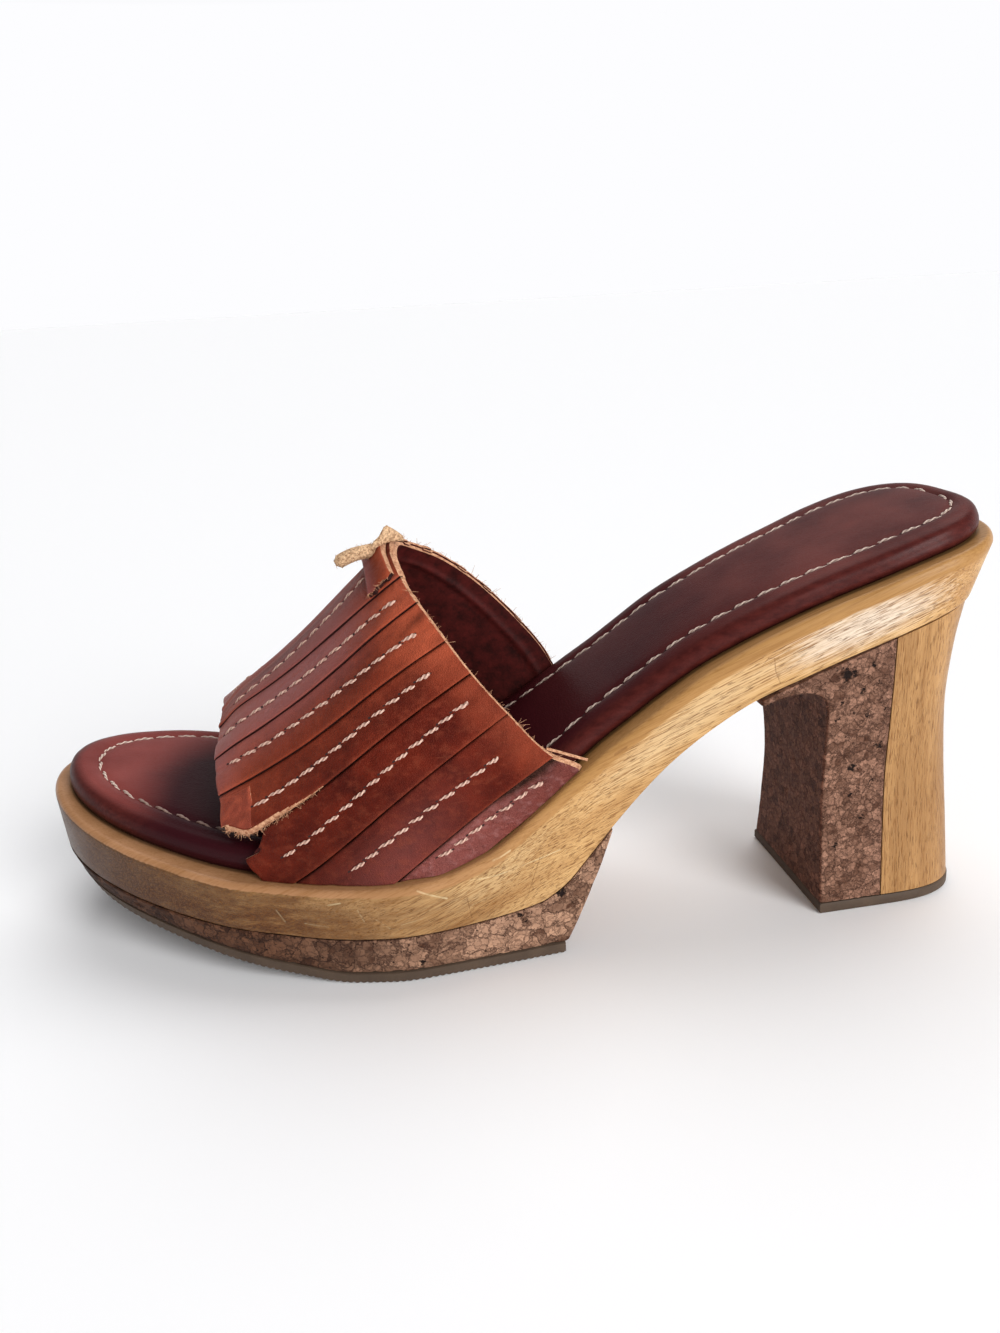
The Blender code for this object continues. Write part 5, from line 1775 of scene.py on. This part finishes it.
add_piece("torn_tab", *tab[:2], band_finishes, "collar_tab", "band_leather", tab[2], facts)

# %% [markdown]
# ## The thong
# A short suede lace is tied through the tab: one end stands out over the band in front, the other lies
# along the inner collar. Suede lace is limp and almost square, cut from split hide. Its route repeats the
# packed route, and it is one tube.

# %% Lace
LACE_WIDTH = 3.5
LAID_LIFT = LAP_STEP + GAP + 0.6
# distances from the ridge of the end that lies along the inner collar, and how far it keeps from the edge
LAID = (27.0, 22.0, 17.0, 12.0, 7.0)
LAID_INSET = 3.4
FRONT_END = (
    (-27.0, 0.0, 91.8), (-28.0, -4.2, 92.1), (-29.8, -7.0, 92.4), (-32.8, -7.8, 92.1), (-36.9, -8.0, 90.5),
)
LACE_POINTS = 40
LACE_SIDES = 16
LACE_LOBE = 0.05
CURVE_STEPS = 24


def smooth_path(rows, count):
    """Even points on a smooth curve through rows of points."""
    rows = np.array(rows, float)
    padded = np.concatenate([[2 * rows[0] - rows[1]], rows, [2 * rows[-1] - rows[-2]]])
    dense = []
    for a, b, c, e in zip(padded, padded[1:], padded[2:], padded[3:]):
        for t in np.linspace(0, 1, CURVE_STEPS, endpoint=False):
            dense.append(0.5 * (2 * b + (c - a) * t + (2 * a - 5 * b + 4 * c - e) * t ** 2
                                + (3 * b - a - 3 * c + e) * t ** 3))
    dense = np.array(dense + [rows[-1]])
    run = np.concatenate([[0], np.cumsum(np.linalg.norm(np.diff(dense, axis=0), axis=1))])
    spots = np.linspace(0, run[-1], count)
    return np.stack([np.interp(spots, run, dense[:, k]) for k in range(3)], axis=1)


laid = [band_at(edge_at("collar", d) - LAID_INSET, d, LAID_LIFT) for d in LAID]
lace_path = smooth_path([*laid, *FRONT_END], LACE_POINTS)
ups = np.tile((0.15, -0.2, 1.0), (LACE_POINTS, 1))
share = np.linspace(0, 1, LACE_POINTS)
# the end laid along the collar is pressed flat, the free end is full and rounded
full = fade(share, 0.5, 0.75)
round_off = np.sqrt(np.clip(1 - (1 - np.clip((1 - share) / 0.035, 0, 1)) ** 2, 0.15, 1))
radii = LACE_WIDTH / 2 * (0.72 + 0.28 * full) * round_off
flats = 0.45 + 0.5 * full
lace_tube = tube(lace_path, ups, radii, share * 0, flats[:, None], LACE_SIDES, LACE_LOBE)
lace = add_piece("suede_lace", *lace_tube, [suede], "thong_front_end", "suede")
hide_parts("thong_back_end")

# %% [markdown]
# The knot is a pinched fold of the same lace that stands up over the collar with its flat side outwards, so
# it is a flat loft with a corner at its top.

# %% Knot
# place along the shoe and across it, lower and upper edge of the fold
FOLD = (
    (-28.8, -7.3, 92.2, 93.4), (-27.4, -7.1, 93.0, 94.8), (-26.2, -6.8, 93.4, 95.8),
    (-25.0, -6.3, 93.8, 97.6), (-24.2, -6.0, 93.9, 98.0), (-22.8, -5.3, 93.9, 96.9),
    (-21.4, -4.4, 93.6, 95.7), (-20.4, -3.6, 93.3, 94.6),
)
FOLD_HALF = 0.85
FOLD_GRID = (34, 20)
FOLD_WORN = 0.12
fold = np.array(FOLD)
x = np.linspace(fold[0, 0], fold[-1, 0], FOLD_GRID[0])
y, low, high = [np.interp(x, fold[:, 0], fold[:, k])[:, None] for k in (1, 2, 3)]
turn = np.linspace(0, 2 * np.pi, FOLD_GRID[1], endpoint=False)
worn = FOLD_WORN * wobble(x, 0, 0, 0.9, 11.0)[:, None]
rings = np.stack([np.broadcast_to(x[:, None], FOLD_GRID), y + FOLD_HALF * np.cos(turn),
                  (low + high) / 2 + ((high - low) / 2 + worn) * np.sin(turn)], axis=-1)
knot = add_piece("lace_knot", *loft(rings), [suede], "thong_knot", "suede")

# %% [markdown]
# ## Frayed fibres
# Cut leather and suede shed short fibres. A few hundred of them along the collar, the torn tab and the
# frayed corner break the clean computer edges. Each is a thin curved hair, drawn a little thicker than a
# real one so that it shows, and all of them are one mesh.

# %% Fibres
FIBRE_RADIUS = 0.06
FIBRE_SIDES = 4
FIBRE_RINGS = 5
# how many fibres, and how long
COLLAR_FIBRES = (170, 1.1)
CORNER_FIBRES = (150, 1.0)
TAB_FIBRES = (30, 0.8)
LACE_FIBRES = (260, 0.55)
LOOSE_RINGS = 12
LOOSE_X = (4.9, 14.0)
LOOSE_D = (76.6, 85.4)
LOOSE_RADIUS = 0.24


def fray(spots, ways, count, length):
    """Short curved hairs that start at random spots and follow their ways."""
    hairs = []
    for _ in range(count):
        pick = random.integers(len(spots))
        size = length * random.uniform(0.35, 1.2)
        way = unit(ways[pick] + 0.55 * random.standard_normal(3))
        bend = 0.5 * random.standard_normal(3)
        step = np.linspace(0, 1, FIBRE_RINGS)[:, None]
        path = spots[pick] + size * (way * step + bend * step ** 2) - way * 0.15
        radii = FIBRE_RADIUS * np.linspace(1.0, 0.45, FIBRE_RINGS)
        ups = np.tile(random.standard_normal(3), (FIBRE_RINGS, 1))
        hairs.append(tube(path, ups, radii, np.zeros(FIBRE_RINGS), 1, FIBRE_SIDES, 0))
    return hairs


hairs = []
for side in (OUTER, INNER):
    d = side * np.linspace(2.0, 84.0, 300)
    x = edge_at("collar", d)
    spots = band_at(x - 0.3, d, 0.25)
    hairs += fray(spots, unit(band_at(x + 1.0, d, 0.5) - spots), *COLLAR_FIBRES)
x = np.linspace(-66.5, FRAYED_END, 120)
d = lap_line(CORNER_STRIP, x)
lift = strip_lift(CORNER_STRIP, x, d) + creases(CORNER_STRIP, x, d, OUTER)
spots = band_at(x, -d, lift - 0.4)
hairs += fray(spots, unit(band_at(x, -d - 1, lift) - spots), *CORNER_FIBRES)
# a strand of the lining has come loose at the foot of the outer collar
x = np.linspace(*LOOSE_X, LOOSE_RINGS)
strand = band_at(x, -np.linspace(*LOOSE_D, LOOSE_RINGS), 1.1 * fade(x, *LOOSE_X) - 0.3)
ups = np.tile((0.0, -1.0, 0.3), (LOOSE_RINGS, 1))
hairs.append(tube(strand, ups, np.full(LOOSE_RINGS, LOOSE_RADIUS), np.zeros(LOOSE_RINGS)))
tab_edge = tab[0][:TAB_GRID[1]]
hairs += fray(tab_edge, np.tile((0.0, -0.6, -0.6), (TAB_GRID[1], 1)), *TAB_FIBRES)
add_piece("frayed_fibres", *join(hairs), [raw_edge], "upper")
nap_spots = np.array([vertex.co for vertex in lace.data.vertices])[::2] / MM + CENTRE
nearest = np.argmin(np.linalg.norm(nap_spots[:, None] - lace_path[None], axis=2), axis=1)
nap = fray(nap_spots, unit(nap_spots - lace_path[nearest]), *LACE_FIBRES)
add_piece("lace_nap", *join(nap), [suede], "thong_front_end")
